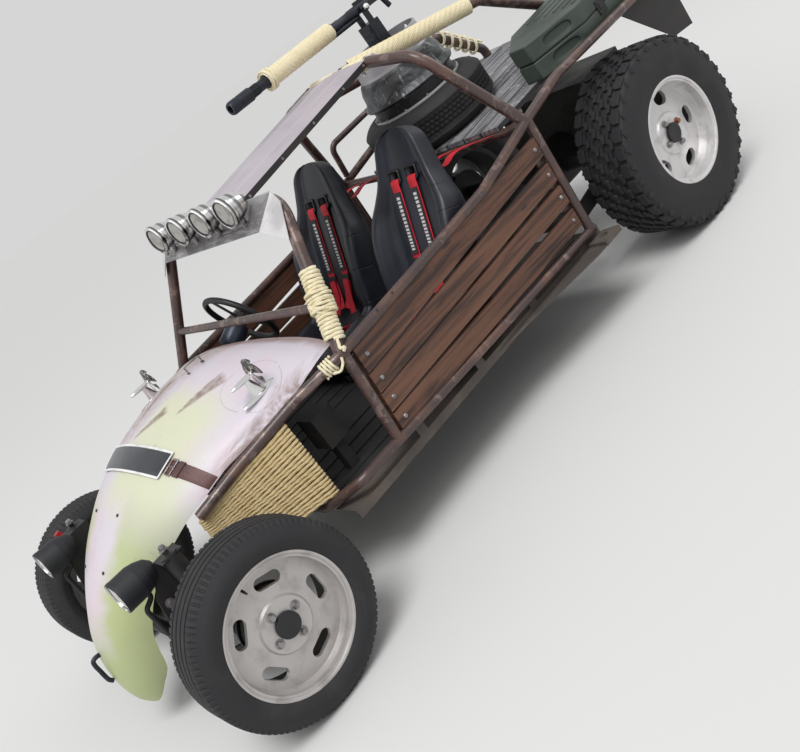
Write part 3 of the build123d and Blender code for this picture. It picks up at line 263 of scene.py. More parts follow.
def deck_wood():
    """Grey weathered boards with long grain and pale scratches."""
    p = Paint("deck_wood")
    grain = p.noise(60.0, 6.0, 0.7, stretch=(0.05, 1.0, 1.0), bend=0.4)
    scratch = p.noise(30.0, 3.0, 0.8, stretch=(1.0, 0.22, 1.0), bend=1.5)
    board = p.noise(1.0, 1.0, stretch=(0.1, 9.0, 0.1))
    board_share = ((p.axes()[1] - BOARD_START) / BOARD_PITCH).math("FRACT")
    gap = p.step((board_share - 0.5).math("ABSOLUTE"), 0.452, 0.470)
    colour = p.layers(srgb(138, 138, 142), (p.step(grain, 0.42, 0.60), srgb(70, 70, 75)),
                      (p.step(board, 0.4, 0.7) * 0.45, srgb(168, 166, 166)),
                      (p.step(scratch, 0.60, 0.66) * 0.75, srgb(212, 210, 208)), (gap * 0.9, srgb(26, 25, 26)))
    return p.finish(colour, 0.75, 0.0, grain, 0.5, 0.003)


def dull_sheet():
    """Grey-white aluminium sheet with soft blotches, fine scratches and a painted highlight along its two creases."""
    p = Paint("dull_sheet")
    blotch, fine = p.noise(5.0, 5.0), p.noise(80.0, 4.0, 0.7, stretch=(0.2, 1.0, 1.0))
    # Painted highlight: a pale line along each crease, 75 mm either side of the middle.
    fold_highlight = p.near(p.axes()[1].math("ABSOLUTE"), 0.075, 0.0012, 0.0010)
    colour = p.layers(srgb(190, 182, 190), (p.step(blotch, 0.4, 0.65) * 0.5, srgb(168, 160, 169)),
                      (fold_highlight * 0.8, srgb(226, 222, 226)),
                      (p.step(fine, 0.58, 0.7) * 0.4, srgb(214, 210, 214)))
    return p.finish(colour, 0.42 + fine * 0.2, 0.35, blotch, 0.15, 0.004)


def brushed_visor():
    """Brushed bright sheet with swirls and smears."""
    p = Paint("brushed_visor")
    brush, smear = p.noise(90.0, 4.0, 0.7, stretch=(1.0, 0.06, 1.0)), p.noise(6.0, 5.0, 0.6, bend=1.2)
    colour = p.layers(srgb(172, 170, 172), (p.step(smear, 0.45, 0.58) * 0.7, srgb(104, 102, 106)),
                      (p.step(brush, 0.5, 0.66) * 0.6, srgb(222, 220, 222)))
    return p.finish(colour, 0.30 + smear * 0.2, 0.75, brush, 0.12, 0.001)


def chrome():
    """Chrome with light marks."""
    p = Paint("chrome")
    mark = p.noise(40.0, 5.0, 0.7)
    colour = p.layers((0.78, 0.78, 0.78), (p.step(mark, 0.55, 0.7) * 0.4, (0.5, 0.49, 0.47)))
    return p.finish(colour, 0.10 + mark * 0.12, 1.0)


def dark_chrome():
    """Chrome that mirrors dark surroundings in streaks."""
    p = Paint("dark_chrome")
    streak = p.noise(60.0, 3.0, 0.6, stretch=(0.3, 1.0, 1.0), bend=0.8)
    colour = p.layers((0.10, 0.10, 0.10), (p.step(streak, 0.46, 0.62), (0.42, 0.40, 0.38)),
                      (p.step(streak, 0.66, 0.70), (0.8, 0.8, 0.8)))
    return p.finish(colour, 0.16 + streak * 0.14, 1.0)


def lamp_chrome():
    """Chrome of the spot lamps with painted reflections: bright above, brown-grey below where it mirrors the ground,
    with dark bands of painted reflection.
    """
    p = Paint("lamp_chrome")
    x, _, z = p.axes()
    below = p.step(1.200 - z, -0.004, 0.014)
    # Painted reflection: two dark bands round the lamp body.
    band = p.near(x, 0.452, 0.0022, 0.0025) + p.near(x, 0.418, 0.004, 0.006) * 0.8
    streak = p.noise(40.0, 4.0, 0.6, stretch=(0.5, 1.0, 1.0), bend=0.5)
    colour = p.layers((0.80, 0.80, 0.80), (below * (0.45 + p.step(streak, 0.42, 0.60) * 0.45), srgb(96, 84, 76)),
                      (band.math("MINIMUM", 1.0) * 0.8, srgb(34, 32, 34)))
    return p.finish(colour, 0.08 + streak * 0.10, 1.0)


def coloured_plain(name, colour, dark, scale, roughness, metallic=0.0, strength=0.2, depth=0.001, **others):
    """A coating of one colour that darkens in patches, with a fine grain."""
    p = Paint(name)
    patch, grain = p.noise(scale, 5.0), p.noise(scale * 14.0, 3.0, 0.6)
    tone = p.layers(colour, (p.step(patch, 0.42, 0.68) * 0.7, dark), (p.step(grain, 0.60, 0.75) * 0.3, dark))
    return p.finish(tone, roughness + (patch - 0.5) * 0.25, metallic, grain, strength, depth, **others)


def floor_coat():
    """Black floor paint; the running boards outside are dusted brown and their rear brackets are pale with rust."""
    p = Paint("floor_paint")
    dust, speck = p.noise(5.0, 5.0), p.noise(60.0, 4.0, 0.65)
    x, y, _ = p.axes()
    board = p.step(y.math("ABSOLUTE"), 0.470, 0.490)
    bracket = board * p.step(-0.60 - x, 0.0, 0.02)
    colour = p.layers(srgb(38, 38, 41), (p.step(dust, 0.42, 0.7) * 0.6, srgb(60, 57, 54)),
                      (board * (0.45 + p.step(dust, 0.40, 0.65) * 0.4), srgb(98, 88, 80)),
                      (bracket * 0.85, srgb(142, 116, 100)), (p.step(speck, 0.6, 0.75) * 0.4, srgb(72, 60, 52)))
    return p.finish(colour, 0.62 + speck * 0.15, 0.0, speck, 0.3, 0.001)


def tyre_rubber():
    """Black rubber, greyer where dust lies in it."""
    p = Paint("tyre_rubber")
    dust, grain = p.noise(9.0, 6.0, 0.65), p.noise(240.0, 3.0)
    colour = p.layers(srgb(31, 31, 34), (p.step(dust, 0.45, 0.75) * 0.45, srgb(62, 59, 57)),
                      (p.step(grain, 0.6, 0.8) * 0.3, srgb(20, 20, 22)))
    return p.finish(colour, 0.62 + dust * 0.2, 0.0, grain, 0.2, 0.0008)


def alloy(name, colour, stain, inner_y):
    """Cast and turned alloy with a fine orange peel and stains, with painted shade inboard of its face."""
    p = Paint(name)
    peel, blot = p.noise(150.0, 3.0), p.noise(14.0, 5.0)
    # Painted shade: near-black, rougher and less metallic inboard of the face, inside the wheel.
    inner = p.step(inner_y - p.axes()[1].math("ABSOLUTE"), 0.0, 0.010)
    tone = p.layers(colour, (p.step(blot, 0.48, 0.7) * 0.6, stain), (p.step(peel, 0.6, 0.8) * 0.25, stain),
                    (inner * 0.92, srgb(34, 32, 31)))
    return p.finish(tone, 0.36 + blot * 0.14 + inner * 0.3, 0.55 - inner * 0.45, peel, 0.12, 0.0006)


def turret_steel():
    """Dented dark rim steel with pale marks that are partly scars and partly painted highlights: a painted highlight
    along the flange, painted shade in the recess above it and a pale ring on top.
    """
    p = Paint("turret_steel")
    # The pale marks: partly scars, partly painted highlights.
    blot, scar_and_highlight = p.noise(9.0, 7.0, 0.7, bend=1.0), p.noise(30.0, 5.0, 0.7, stretch=(1.0, 1.0, 0.3))
    x, y, z = p.axes()
    height = (x - TURRET[0]) * math.sin(DECK_TILT) + (z - TURRET_FOOT) * math.cos(DECK_TILT)
    off_x, off_y = x - TURRET[0] - height * math.sin(DECK_TILT), y - TURRET[1]
    radius = (off_x * off_x + off_y * off_y).math("SQRT")
    # Painted highlight: a bright line along the flange's edge.
    lip = p.near(height, 0.178, 0.007, 0.003) * p.step(radius, 0.2035, 0.2060)
    # Painted shade: a near-black band on the recessed rim wall between the tyre and the upper rims.
    neck = p.near(height + blot * 0.006, 0.196, 0.024, 0.008) * (1 - lip)
    ring = p.step(height, 0.338, 0.345) * p.step(radius, 0.150, 0.157)
    colour = p.layers(srgb(96, 98, 100), (p.step(blot, 0.44, 0.60) * 0.85, srgb(48, 49, 51)),
                      (p.step(scar_and_highlight, 0.57, 0.66) * 0.7, srgb(178, 180, 182)), (neck * 0.85, srgb(34, 34, 36)),
                      (lip, srgb(208, 208, 208)), (ring * 0.85, srgb(196, 194, 200)))
    return p.finish(colour, 0.28 + blot * 0.3, 0.6, blot + scar_and_highlight * 0.4, 0.5, 0.006)


def seat_vinyl():
    """Black vinyl with stitched lines read from the seat's own chart, across first, then along, and lighter bluish
    patches that are partly wear and partly a painted sheen.
    """
    p = Paint("seat_vinyl")
    across, along, _ = p.axes(p.chart)
    grain = p.node("ShaderNodeTexVoronoi", {}, {"Vector": p.place, "Scale": 520.0})
    off = (across - 0.25).math("ABSOLUTE")
    piping = p.near(off, 0.128, 0.0012, 0.0012) * p.step(0.93 - along, 0.0, 0.01)
    rows = ((along * 12.0).math("FRACT") - 0.5).math("ABSOLUTE")
    rung = p.near(rows, 0.0, 0.012, 0.012) * p.step(0.075 - off, 0.0, 0.003) * p.step(along, 0.26, 0.27)
    head = p.near(along, 0.03, 0.0015, 0.0015) * p.step(0.13 - off, 0.0, 0.004)
    seam = (piping + rung + head).math("MINIMUM", 1.0)
    # Lighter bluish patches: partly wear, partly a painted sheen.
    wear = p.noise(6.0, 4.0)
    colour = p.layers(srgb(28, 30, 38), (p.step(wear, 0.45, 0.7) * 0.5, srgb(40, 46, 62)),
                      (seam * 0.85, srgb(10, 10, 12)))
    return p.finish(colour, 0.36 + wear * 0.12, 0.0, grain * 0.05 - seam, 0.5, 0.0028)


def harness_web():
    """Red webbing with a fine cross weave."""
    p = Paint("harness_web")
    _, y, z = p.axes()
    weave = (z * 2600.0).math("SINE") * (y * 1900.0).math("SINE")
    tone = p.noise(20.0)
    colour = p.layers(srgb(196, 26, 44), (p.step(tone, 0.45, 0.7) * 0.5, srgb(228, 46, 62)),
                      (p.step(weave, 0.2, 0.9) * 0.25, srgb(120, 10, 26)))
    return p.finish(colour, 0.62, 0.0, weave, 0.25, 0.0006)


def pad_cloth():
    """Dark harness pad with a plain row of pale dashes along its middle, by its chart."""
    p = Paint("pad_cloth")
    across, along, _ = p.axes(p.chart)
    dash = p.near(((along * 17.0).math("FRACT") - 0.5).math("ABSOLUTE"), 0.0, 0.30, 0.05)
    dash = dash * p.near(across, 0.5, 0.25, 0.03) * p.near(along, 0.5, 0.44, 0.01)
    weave = p.noise(500.0, 2.0)
    colour = p.layers(srgb(44, 42, 46), (dash * 0.92, srgb(222, 220, 222)),
                      (p.step(weave, 0.5, 0.7) * 0.25, srgb(86, 84, 86)))
    return p.finish(colour, 0.75, 0.0, weave, 0.3, 0.0006)


def belt_leather():
    """Brown leather, darker in patches, with a fine grain."""
    p = Paint("belt_leather")
    grain = p.node("ShaderNodeTexVoronoi", {}, {"Vector": p.place, "Scale": 360.0})
    wear = p.noise(12.0, 5.0)
    colour = p.layers(srgb(92, 58, 56), (p.step(wear, 0.42, 0.68) * 0.7, srgb(58, 34, 34)),
                      (p.step(grain, 0.5, 0.9) * 0.2, srgb(120, 84, 80)))
    return p.finish(colour, 0.48, 0.0, grain, 0.3, 0.0008)


def lamp_lens():
    """Ribbed lamp glass over its reflector, with painted glints as lighter stripes along the ribs."""
    p = Paint("lamp_lens")
    ribs = (p.axes()[1] * 420.0).math("SINE")
    # Lighter stripes along the ribs are painted glints; the ribs' relief is the bump.
    colour = p.layers(srgb(150, 147, 140), (p.step(ribs, 0.0, 0.9) * 0.5, srgb(204, 202, 196)),
                      (p.step(p.noise(30.0), 0.48, 0.62) * 0.6, srgb(92, 88, 82)))
    return p.finish(colour, 0.12, 0.25, ribs, 0.25, 0.001, Coat_Weight=1.0, Coat_Roughness=0.04)


def gauge_face():
    """Dial with plain ticks round its rim, by its chart: angle first, then radius."""
    p = Paint("gauge_face")
    angle, radius, _ = p.axes(p.chart)
    tick = p.near(((angle * 24.0).math("FRACT") - 0.5).math("ABSOLUTE"), 0.0, 0.07, 0.03)
    tick = tick * p.near(radius, 0.80, 0.08, 0.01)
    needle = p.near(angle, 0.30, 0.008, 0.004) * p.step(0.78 - radius, 0.0, 0.02)
    colour = p.layers(srgb(22, 22, 24), (tick, srgb(226, 226, 220)), (needle, srgb(220, 90, 40)))
    return p.finish(colour, 0.25, 0.0, Coat_Weight=0.8, Coat_Roughness=0.05)


TUBE = rusty_tube()
ROPE = rope_fibre("rope_fibre", (208, 186, 140), (188, 162, 114), (132, 108, 72))
ROPE_PALE = rope_fibre("rope_cream", (232, 222, 190), (218, 204, 164), (170, 150, 110))
RUBBER = tyre_rubber()
CHROME = chrome()
LAMP_CHROME = lamp_chrome()
VINYL = seat_vinyl()
WEB = harness_web()
LEATHER = belt_leather()
BLACK = coloured_plain("satin_black", srgb(25, 25, 28), srgb(16, 16, 18), 9.0, 0.45)
MATT_BLACK = coloured_plain("matt_black", srgb(27, 28, 34), srgb(19, 19, 23), 8.0, 0.62, strength=0.35)
FAN = dark_chrome()
GUN_BLACK = coloured_plain("gun_blue_black", srgb(36, 40, 50), srgb(22, 24, 29), 14.0, 0.38, 0.3)
FLOOR_BLACK = floor_coat()
CHASSIS = coloured_plain("chassis_paint", srgb(30, 29, 31), srgb(48, 41, 37), 8.0, 0.55, strength=0.3)
ENGINE = coloured_plain("engine_metal", srgb(78, 76, 74), srgb(38, 35, 33), 9.0, 0.6, 0.4, 0.5, 0.003)
CASE_GREEN = coloured_plain("case_green", srgb(60, 70, 63), srgb(38, 46, 42), 5.0, 0.5, strength=0.4)
STEEL_BOLT = coloured_plain("bolt_steel", srgb(150, 148, 148), srgb(90, 84, 80), 60.0, 0.35, 0.7)
COPPER_BOLT = coloured_plain("copper_bolt", srgb(158, 106, 82), srgb(104, 62, 46), 60.0, 0.35, 0.7)
PLATE_WHITE = coloured_plain("plate_border", srgb(232, 232, 232), srgb(196, 196, 198), 20.0, 0.4)
LENS = lamp_lens()
GUSSET = coloured_plain("gusset_white", srgb(206, 204, 206), srgb(168, 164, 166), 9.0, 0.4)
COLUMN_BLUE = coloured_plain("column_blue", srgb(60, 66, 80), srgb(34, 37, 46), 12.0, 0.35, 0.4)
PLATE_BLACK = coloured_plain("plate_face", srgb(38, 41, 50), srgb(30, 32, 40), 12.0, 0.35, Coat_Weight=0.3)
RED_TAG = coloured_plain("red_tag", srgb(190, 40, 50), srgb(120, 24, 34), 30.0, 0.45)
ALLOY_GREY = alloy("alloy_grey", srgb(186, 182, 180), srgb(146, 142, 140), 0.676)
ALLOY_SILVER = alloy("alloy_silver", srgb(216, 214, 214), srgb(170, 166, 162), 0.632)

# Paint of the nodes that keep their own mesh, by how their names start; a later row goes over an earlier one.
NODE_PAINTS = (
    (CHASSIS, ("front_axle", "rear_axle", "knuckle", "shock", "bulkhead", "rear_guard")),
    (FLOOR_BLACK, ("floorpan", "battery_box")),
    (ALLOY_GREY, ("rim_front",)),
    (ALLOY_SILVER, ("rim_rear",)),
    (plank_wood(), ("planks",)),
    (deck_wood(), ("deck",)),
    (dull_sheet(), ("roof_panel",)),
    (brushed_visor(), ("visor",)),
    (LAMP_CHROME, ("spot_lamps",)),
    (MATT_BLACK, ("headlamp",)),
    (BLACK, ("steering_wheel",)),
    (COLUMN_BLUE, ("steering_column",)),
    (turret_steel(), ("turret_rims",)),
    (CASE_GREEN, ("case",)),
    (GUN_BLACK, ("gun_swivel",)),
    (ENGINE, ("engine_block",)),
    (TUBE, ("rail_", "screen_", "rear_hoop", "cross_tube", "tail_stay", "deck_guard")),
)
for paint, starts in NODE_PAINTS:
    for node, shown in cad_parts.items():
        if node.startswith(starts):
            shown.data.materials.clear()
            shown.data.materials.append(paint)


# Shapes are (points, faces, chart corners); faces and corners are lists of arrays, one array per face size.
def grid(points, wrap_rows=False, wrap_columns=False):
    """Quads over a (rows, columns, 3) array of points; the chart is the column and the row share."""
    rows, columns = points.shape[:2]
    i, j = np.meshgrid(np.arange(rows if wrap_rows else rows - 1), np.arange(columns if wrap_columns else columns - 1),
                       indexing="ij")
    i, j = i.ravel(), j.ravel()
    down, right = (i + 1) % rows, (j + 1) % columns
    faces = np.stack([i * columns + j, i * columns + right, down * columns + right, down * columns + j], axis=1)
    tall, wide = (rows if wrap_rows else rows - 1), (columns if wrap_columns else columns - 1)
    chart = np.stack([np.stack([j, j + 1, j + 1, j], 1) / wide, np.stack([i, i, i + 1, i + 1], 1) / tall], axis=2)
    return points.reshape(-1, 3), [faces], [chart]


def join(*shapes):
    """Several shapes as one, their faces renumbered."""
    points, faces, charts, start = [], [], [], 0
    for part, sides, corners in shapes:
        points.append(part)
        faces += [side + start for side in sides]
        charts += corners
        start += len(part)
    return np.concatenate(points), faces, charts


def capped(shape, columns):
    """The grid shape with its first and last row of points closed by one face each."""
    points, faces, charts = shape
    first = np.arange(columns)[::-1][None]
    last = np.arange(len(points) - columns, len(points))[None]
    blank = np.zeros((1, columns, 2))
    return points, faces + [first, last], charts + [blank, blank]


def outward(shape):
    """The shape with its faces turned out: the sum of each face's height times its area is made positive."""
    points, faces, charts = shape
    volume = 0.0
    for side in faces:
        corner = points[side]
        for k in range(1, side.shape[1] - 1):
            volume += np.einsum("ij,ij->i", corner[:, 0], np.cross(corner[:, k], corner[:, k + 1])).sum()
    if volume < 0:
        return points, [side[:, ::-1] for side in faces], [chart[:, ::-1] for chart in charts]
    return shape


def skin(rows):
    """Closed skin over rows of points: each row is a ring, and the first and the last are filled."""
    return outward(capped(grid(rows, False, True), rows.shape[1]))


def piece(name, shape, body, material, replaces=(), sharp=40.0):
    """A mesh object from a shape, riding on a body, its edges sharp past an angle."""
    points, faces, charts = shape
    mesh = bpy.data.meshes.new(name)
    sizes = np.concatenate([np.full(len(side), side.shape[1]) for side in faces])
    mesh.vertices.add(len(points))
    mesh.vertices.foreach_set("co", points.astype(np.float32).ravel())
    mesh.loops.add(int(sizes.sum()))
    mesh.loops.foreach_set("vertex_index", np.concatenate([side.ravel() for side in faces]).astype(np.int32))
    mesh.polygons.add(len(sizes))
    mesh.polygons.foreach_set("loop_start", np.concatenate([[0], np.cumsum(sizes)[:-1]]).astype(np.int32))
    mesh.uv_layers.new(name="chart").data.foreach_set(
        "uv", np.concatenate([chart.ravel() for chart in charts]).astype(np.float32))
    mesh.update(calc_edges=True)
    mesh.validate()
    mesh.shade_smooth()
    mesh.set_sharp_from_angle(angle=math.radians(sharp))
    mesh.materials.append(material)
    made = bpy.data.objects.new(name, mesh)
    bpy.context.scene.collection.objects.link(made)
    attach(made, body)
    if replaces:
        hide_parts(*replaces)
    return made


def unit(vectors):
    """Vectors made one long."""
    return vectors / np.linalg.norm(vectors, axis=-1, keepdims=True)


def moved(shape, matrix):
    """The shape carried by a 4 by 4 matrix."""
    points, faces, charts = shape
    return points @ matrix[:3, :3].T + matrix[:3, 3], faces, charts


def mirrored(shape):
    """The shape on the car's other side."""
    points, faces, charts = shape
    return points * (1, -1, 1), [side[:, ::-1] for side in faces], [chart[:, ::-1] for chart in charts]


def sided(shape, side):
    """A shape made for the left side, put on the side asked for."""
    return shape if side > 0 else mirrored(shape)


def standing(centre, axis, lead=UP):
    """Matrix that puts local Z along axis at centre, with local X as near to lead as it can be."""
    axis = unit(np.array(axis, float))
    lead = np.array(lead, float)
    if abs(axis @ unit(lead)) > 0.99:
        lead = np.array(AHEAD)
    across = unit(lead - axis * (lead @ axis))
    matrix = np.eye(4)
    matrix[:3, :3] = np.stack([across, np.cross(axis, across), axis], axis=1)
    matrix[:3, 3] = centre
    return matrix


def steps_round(count):
    """Angles of a whole turn in equal steps."""
    return np.arange(count) / count * TAU


def spokes(angle, matrix):
    """Unit vectors across a matrix's Z: X cos a + Y sin a."""
    return np.cos(angle)[:, None] * matrix[:3, 0] + np.sin(angle)[:, None] * matrix[:3, 1]


def ring_spots(radius, height, count):
    """Matrices that stand upright, evenly round a circle."""
    return [standing((radius * math.cos(t), radius * math.sin(t), height), UP) for t in steps_round(count)]


def turned(angle, radius, height):
    """Closed profile turned about Z: point = (r cos a, r sin a, h), where r may also change with the angle."""
    angle, radius, height = np.broadcast_arrays(angle[:, None], radius, height)
    return outward(grid(np.stack([np.cos(angle) * radius, np.sin(angle) * radius, height], axis=2), True, True))


def lathe(profile, segments=48):
    """Closed profile of (radius, height) turned evenly about Z."""
    radius, height = np.array(profile, float).T
    return turned(steps_round(segments), radius, height)


def disc_stack(profile, segments=32):
    """Solid of revolution: open profile of (radius, height) whose two ends are closed by flat faces."""
    radius, height = np.array(profile, float).T
    angle = steps_round(segments)
    return skin(np.stack([np.outer(radius, np.cos(angle)), np.outer(radius, np.sin(angle)),
                          np.repeat(height[:, None], segments, 1)], axis=2))


def swept(path, lead, outline, closed=False):
    """An outline carried along a path: point = path + u n + v b, with n the lead made square to the path."""
    path = np.array(path, float)
    along = unit(np.roll(path, -1, 0) - np.roll(path, 1, 0) if closed else np.gradient(path, axis=0))
    lead = np.broadcast_to(np.array(lead, float), path.shape)
    normal = unit(lead - along * (lead * along).sum(1, keepdims=True))
    side = np.cross(along, normal)
    outline = np.broadcast_to(outline, (len(path),) + np.shape(outline)[-2:])
    points = path[:, None] + normal[:, None] * outline[..., :1] + side[:, None] * outline[..., 1:]
    return outward(grid(points, True, True)) if closed else skin(points)


def circle(radius, sides):
    """Round outline: (r cos a, r sin a)."""
    angle = steps_round(sides)
    return np.stack([np.cos(angle), np.sin(angle)], 1) * radius


def squared_oval(half_wide, half_tall, power_wide, power_tall, count):
    """Oval drawn out to a rounded rectangle: w sign(cos a) |cos a|^p across, h sign(sin a) |sin a|^q up."""
    angle = np.linspace(0, TAU, count, endpoint=False)
    return np.stack([half_wide * np.sign(np.cos(angle)) * np.abs(np.cos(angle)) ** power_wide,
                     half_tall * np.sign(np.sin(angle)) * np.abs(np.sin(angle)) ** power_tall], 1)


def prism(plan, low, high):
    """Upright solid over a flat outline, between two levels."""
    return skin(np.stack([np.c_[plan, np.full(len(plan), level)] for level in (low, high)]))


def eased(points, count):
    """Catmull-Rom curve through points: blends each four neighbours by cubic weights."""
    points = np.array(points, float)
    ends = np.concatenate([[2 * points[0] - points[1]], points, [2 * points[-1] - points[-2]]])
    place = np.linspace(0, len(points) - 1 - 1e-9, count)
    k = place.astype(int)
    t = (place - k)[:, None]
    a, b, c, d = ends[k], ends[k + 1], ends[k + 2], ends[k + 3]
    return 0.5 * (2 * b + (c - a) * t + (2 * a - 5 * b + 4 * c - d) * t ** 2 + (3 * b - a - 3 * c + d) * t ** 3)


def evenly(path, spacing, *others):
    """A path, and rows of vectors that go with its points, taken at even steps of arc length."""
    path = np.array(path, float)
    run = np.concatenate([[0], np.cumsum(np.linalg.norm(np.diff(path, axis=0), axis=1))])
    place = np.linspace(0, run[-1], max(int(run[-1] / spacing), 3))
    taken = [np.stack([np.interp(place, run, rows[:, k]) for k in range(3)], axis=1) for rows in (path, *others)]
    return taken if others else taken[0]


STRANDS = 3
ROPE_R = 0.0066
STRAND_SWELL = 0.14
STRAND_LAY = 5.5  # run of one strand to the next, in rope radii


def rope(path, lead, radius=ROPE_R, spacing=0.0055, sides=9):
    """Laid rope: a circle whose radius swells in three lobes that turn along the path."""
    path = np.array(path, float)
    path, lead = evenly(path, spacing, np.broadcast_to(np.array(lead, float), path.shape))
    run = np.arange(len(path))[:, None] * spacing
    angle = steps_round(sides)[None]
    swell = 1 + STRAND_SWELL * np.cos(STRANDS * (angle - run / (radius * STRAND_LAY) * TAU / STRANDS))
    outline = np.stack([np.cos(angle) * swell, np.sin(angle) * swell], 2) * radius * 0.93
    return swept(path, lead, outline)


def coil(start, end, radius, pitch, rope_radius=ROPE_R, phase=0.0, wander=0.0):
    """Rope wound round a straight tube: axis point + r (cos a, sin a), one turn per pitch."""
    start, end = np.array(start, float), np.array(end, float)
    matrix = standing(start, end - start)
    turns = np.linalg.norm(end - start) / pitch
    angle = np.linspace(0, turns * TAU, int(turns * 40) + 2) + phase
    height = (angle - phase) / TAU * pitch + wander * np.sin(angle * 1.7)
    spoke = spokes(angle, matrix)
    return rope(start + height[:, None] * matrix[:3, 2] + spoke * (radius + rope_radius), spoke, rope_radius)


def scatter(shape, matrices):
    """Copies of a small shape, one per matrix."""
    return join(*[moved(shape, matrix) for matrix in matrices])


def hex_bolt(across, height, washer=0.0):
    """Six-sided head with a worn top edge, on a round washer where one is asked for."""
    head = disc_stack([(across / 2, 0.0), (across / 2, height * 0.8), (across / 2 * 0.86, height)], 6)
    if not washer:
        return head
    return join(head, disc_stack([(washer, -0.001), (washer, 0.0016), (washer * 0.92, 0.0022)], 20))


def dome(radius, height, edge, turn=1.57, rows=7):
    """Profile of a low dome: (r cos t, h sin t), its edge drawn in by the share given."""
    return [(radius * math.cos(t * edge), height * math.sin(t * turn)) for t in np.linspace(0, 1, rows)]


def round_bolt(radius, height):
    """Low domed head."""
    return disc_stack(dome(radius, height, 1.35, rows=5), 14)


# Bonnet: crown line with half width and edge drop at each rib, as the pressed panel has them.
RIBS = np.array([
    # crown x, crown z, half width, edge drop
    (0.530, 0.757, 0.520, 0.046), (0.585, 0.779, 0.528, 0.070), (0.640, 0.795, 0.524, 0.094),
    (0.720, 0.806, 0.510, 0.122), (0.800, 0.809, 0.494, 0.134), (0.900, 0.801, 0.470, 0.140),
    (1.000, 0.787, 0.442, 0.141), (1.076, 0.771, 0.416, 0.138), (1.180, 0.736, 0.382, 0.135),
    (1.260, 0.702, 0.350, 0.128), (1.340, 0.656, 0.312, 0.122), (1.416, 0.605, 0.272, 0.120),
    (1.490, 0.538, 0.232, 0.122), (1.550, 0.468, 0.196, 0.127), (1.597, 0.396, 0.168, 0.134),
    (1.626, 0.310, 0.148, 0.137), (1.634, 0.220, 0.124, 0.131), (1.624, 0.155, 0.099, 0.112),
    (1.606, 0.118, 0.078, 0.081), (1.593, 0.101, 0.050, 0.038)])
BONNET_WALL = 0.004
CROWN_STEPS = 100  # steps of the crown line from rib to rib
NORMAL_REACH = 80  # steps to each side over which its direction is taken
crown = eased(RIBS, CROWN_STEPS * (len(RIBS) - 1) + 1)


def crown_at(place):
    """The crown line's x, z, half width and edge drop at a place, counted in its steps."""
    place = np.clip(place, 0, len(crown) - 1)
    return np.stack([np.interp(place, np.arange(len(crown)), crown[:, k]) for k in range(4)], axis=-1)


def bonnet_point(rib, share, lift):
    """Point on the bonnet: crown + lift n - drop f(share) n, width times share, n the crown line's normal."""
    rib, share, lift = np.broadcast_arrays(rib, share, lift)
    place = rib * CROWN_STEPS
    x, z, half, drop = np.moveaxis(crown_at(place), -1, 0)
    run = unit((crown_at(place + NORMAL_REACH) - crown_at(place - NORMAL_REACH))[..., :2])
    fall = np.abs(share) ** 2 * 0.62 + np.abs(share) ** 7 * 0.38
    sink = lift - fall * drop
    return np.stack([x - run[..., 1] * sink, half * share, z + run[..., 0] * sink], axis=-1)


def rib_at(x):
    """Place along the ribs where the crown line reaches x, on its way to the foremost rib."""
    count = int(RIBS[:, 0].argmax()) + 1
    return float(np.interp(x, RIBS[:count, 0], np.arange(count)))


def bonnet():
    """Outer and inner skin of the bonnet with a rolled edge and shallow dents, each a bell over rib and share."""
    rib = np.linspace(0, len(RIBS) - 1, 150)[:, None]
    share = np.sin(np.linspace(-1, 1, 85) * math.pi / 2 * 0.92)[None] / math.sin(math.pi / 2 * 0.92)
    dents = rng.uniform((2, -0.8, -0.0018, 0.05), (14, 0.8, 0.0004, 0.12), (16, 4))
    lift = sum(deep * np.exp(-(((rib - at) / (wide * 14)) ** 2 + ((share - across) / (wide * 2.2)) ** 2))
               for at, across, deep, wide in dents)
    outer = bonnet_point(rib, share, lift)
    inner = bonnet_point(rib, share * 0.992, lift - BONNET_WALL)
    shape = skin(np.concatenate([outer, inner[:, ::-1]], axis=1))
    piece("bonnet_skin", shape, "chassis", bonnet_paint(), ["bonnet"], sharp=50.0)


def strap_band(x_low, x_high, share_low, share_high, low, high, rows=9, columns=61):
    """Band lying on the bonnet between two places along it, its top drawn down by a sixth power at the long edges."""
    rib = np.linspace(rib_at(x_low), rib_at(x_high), rows)[:, None]
    share = np.linspace(share_low, share_high, columns)[None]
    puff = high - (high - low) * 0.45 * (np.abs(np.linspace(-1, 1, rows)) ** 6)[:, None]
    top, under = bonnet_point(rib, share, puff), bonnet_point(rib, share, low)
    return skin(np.concatenate([top, under[::-1]], axis=0).transpose(1, 0, 2))


BELT_LOW_X, BELT_HIGH_X = 1.106, 1.150


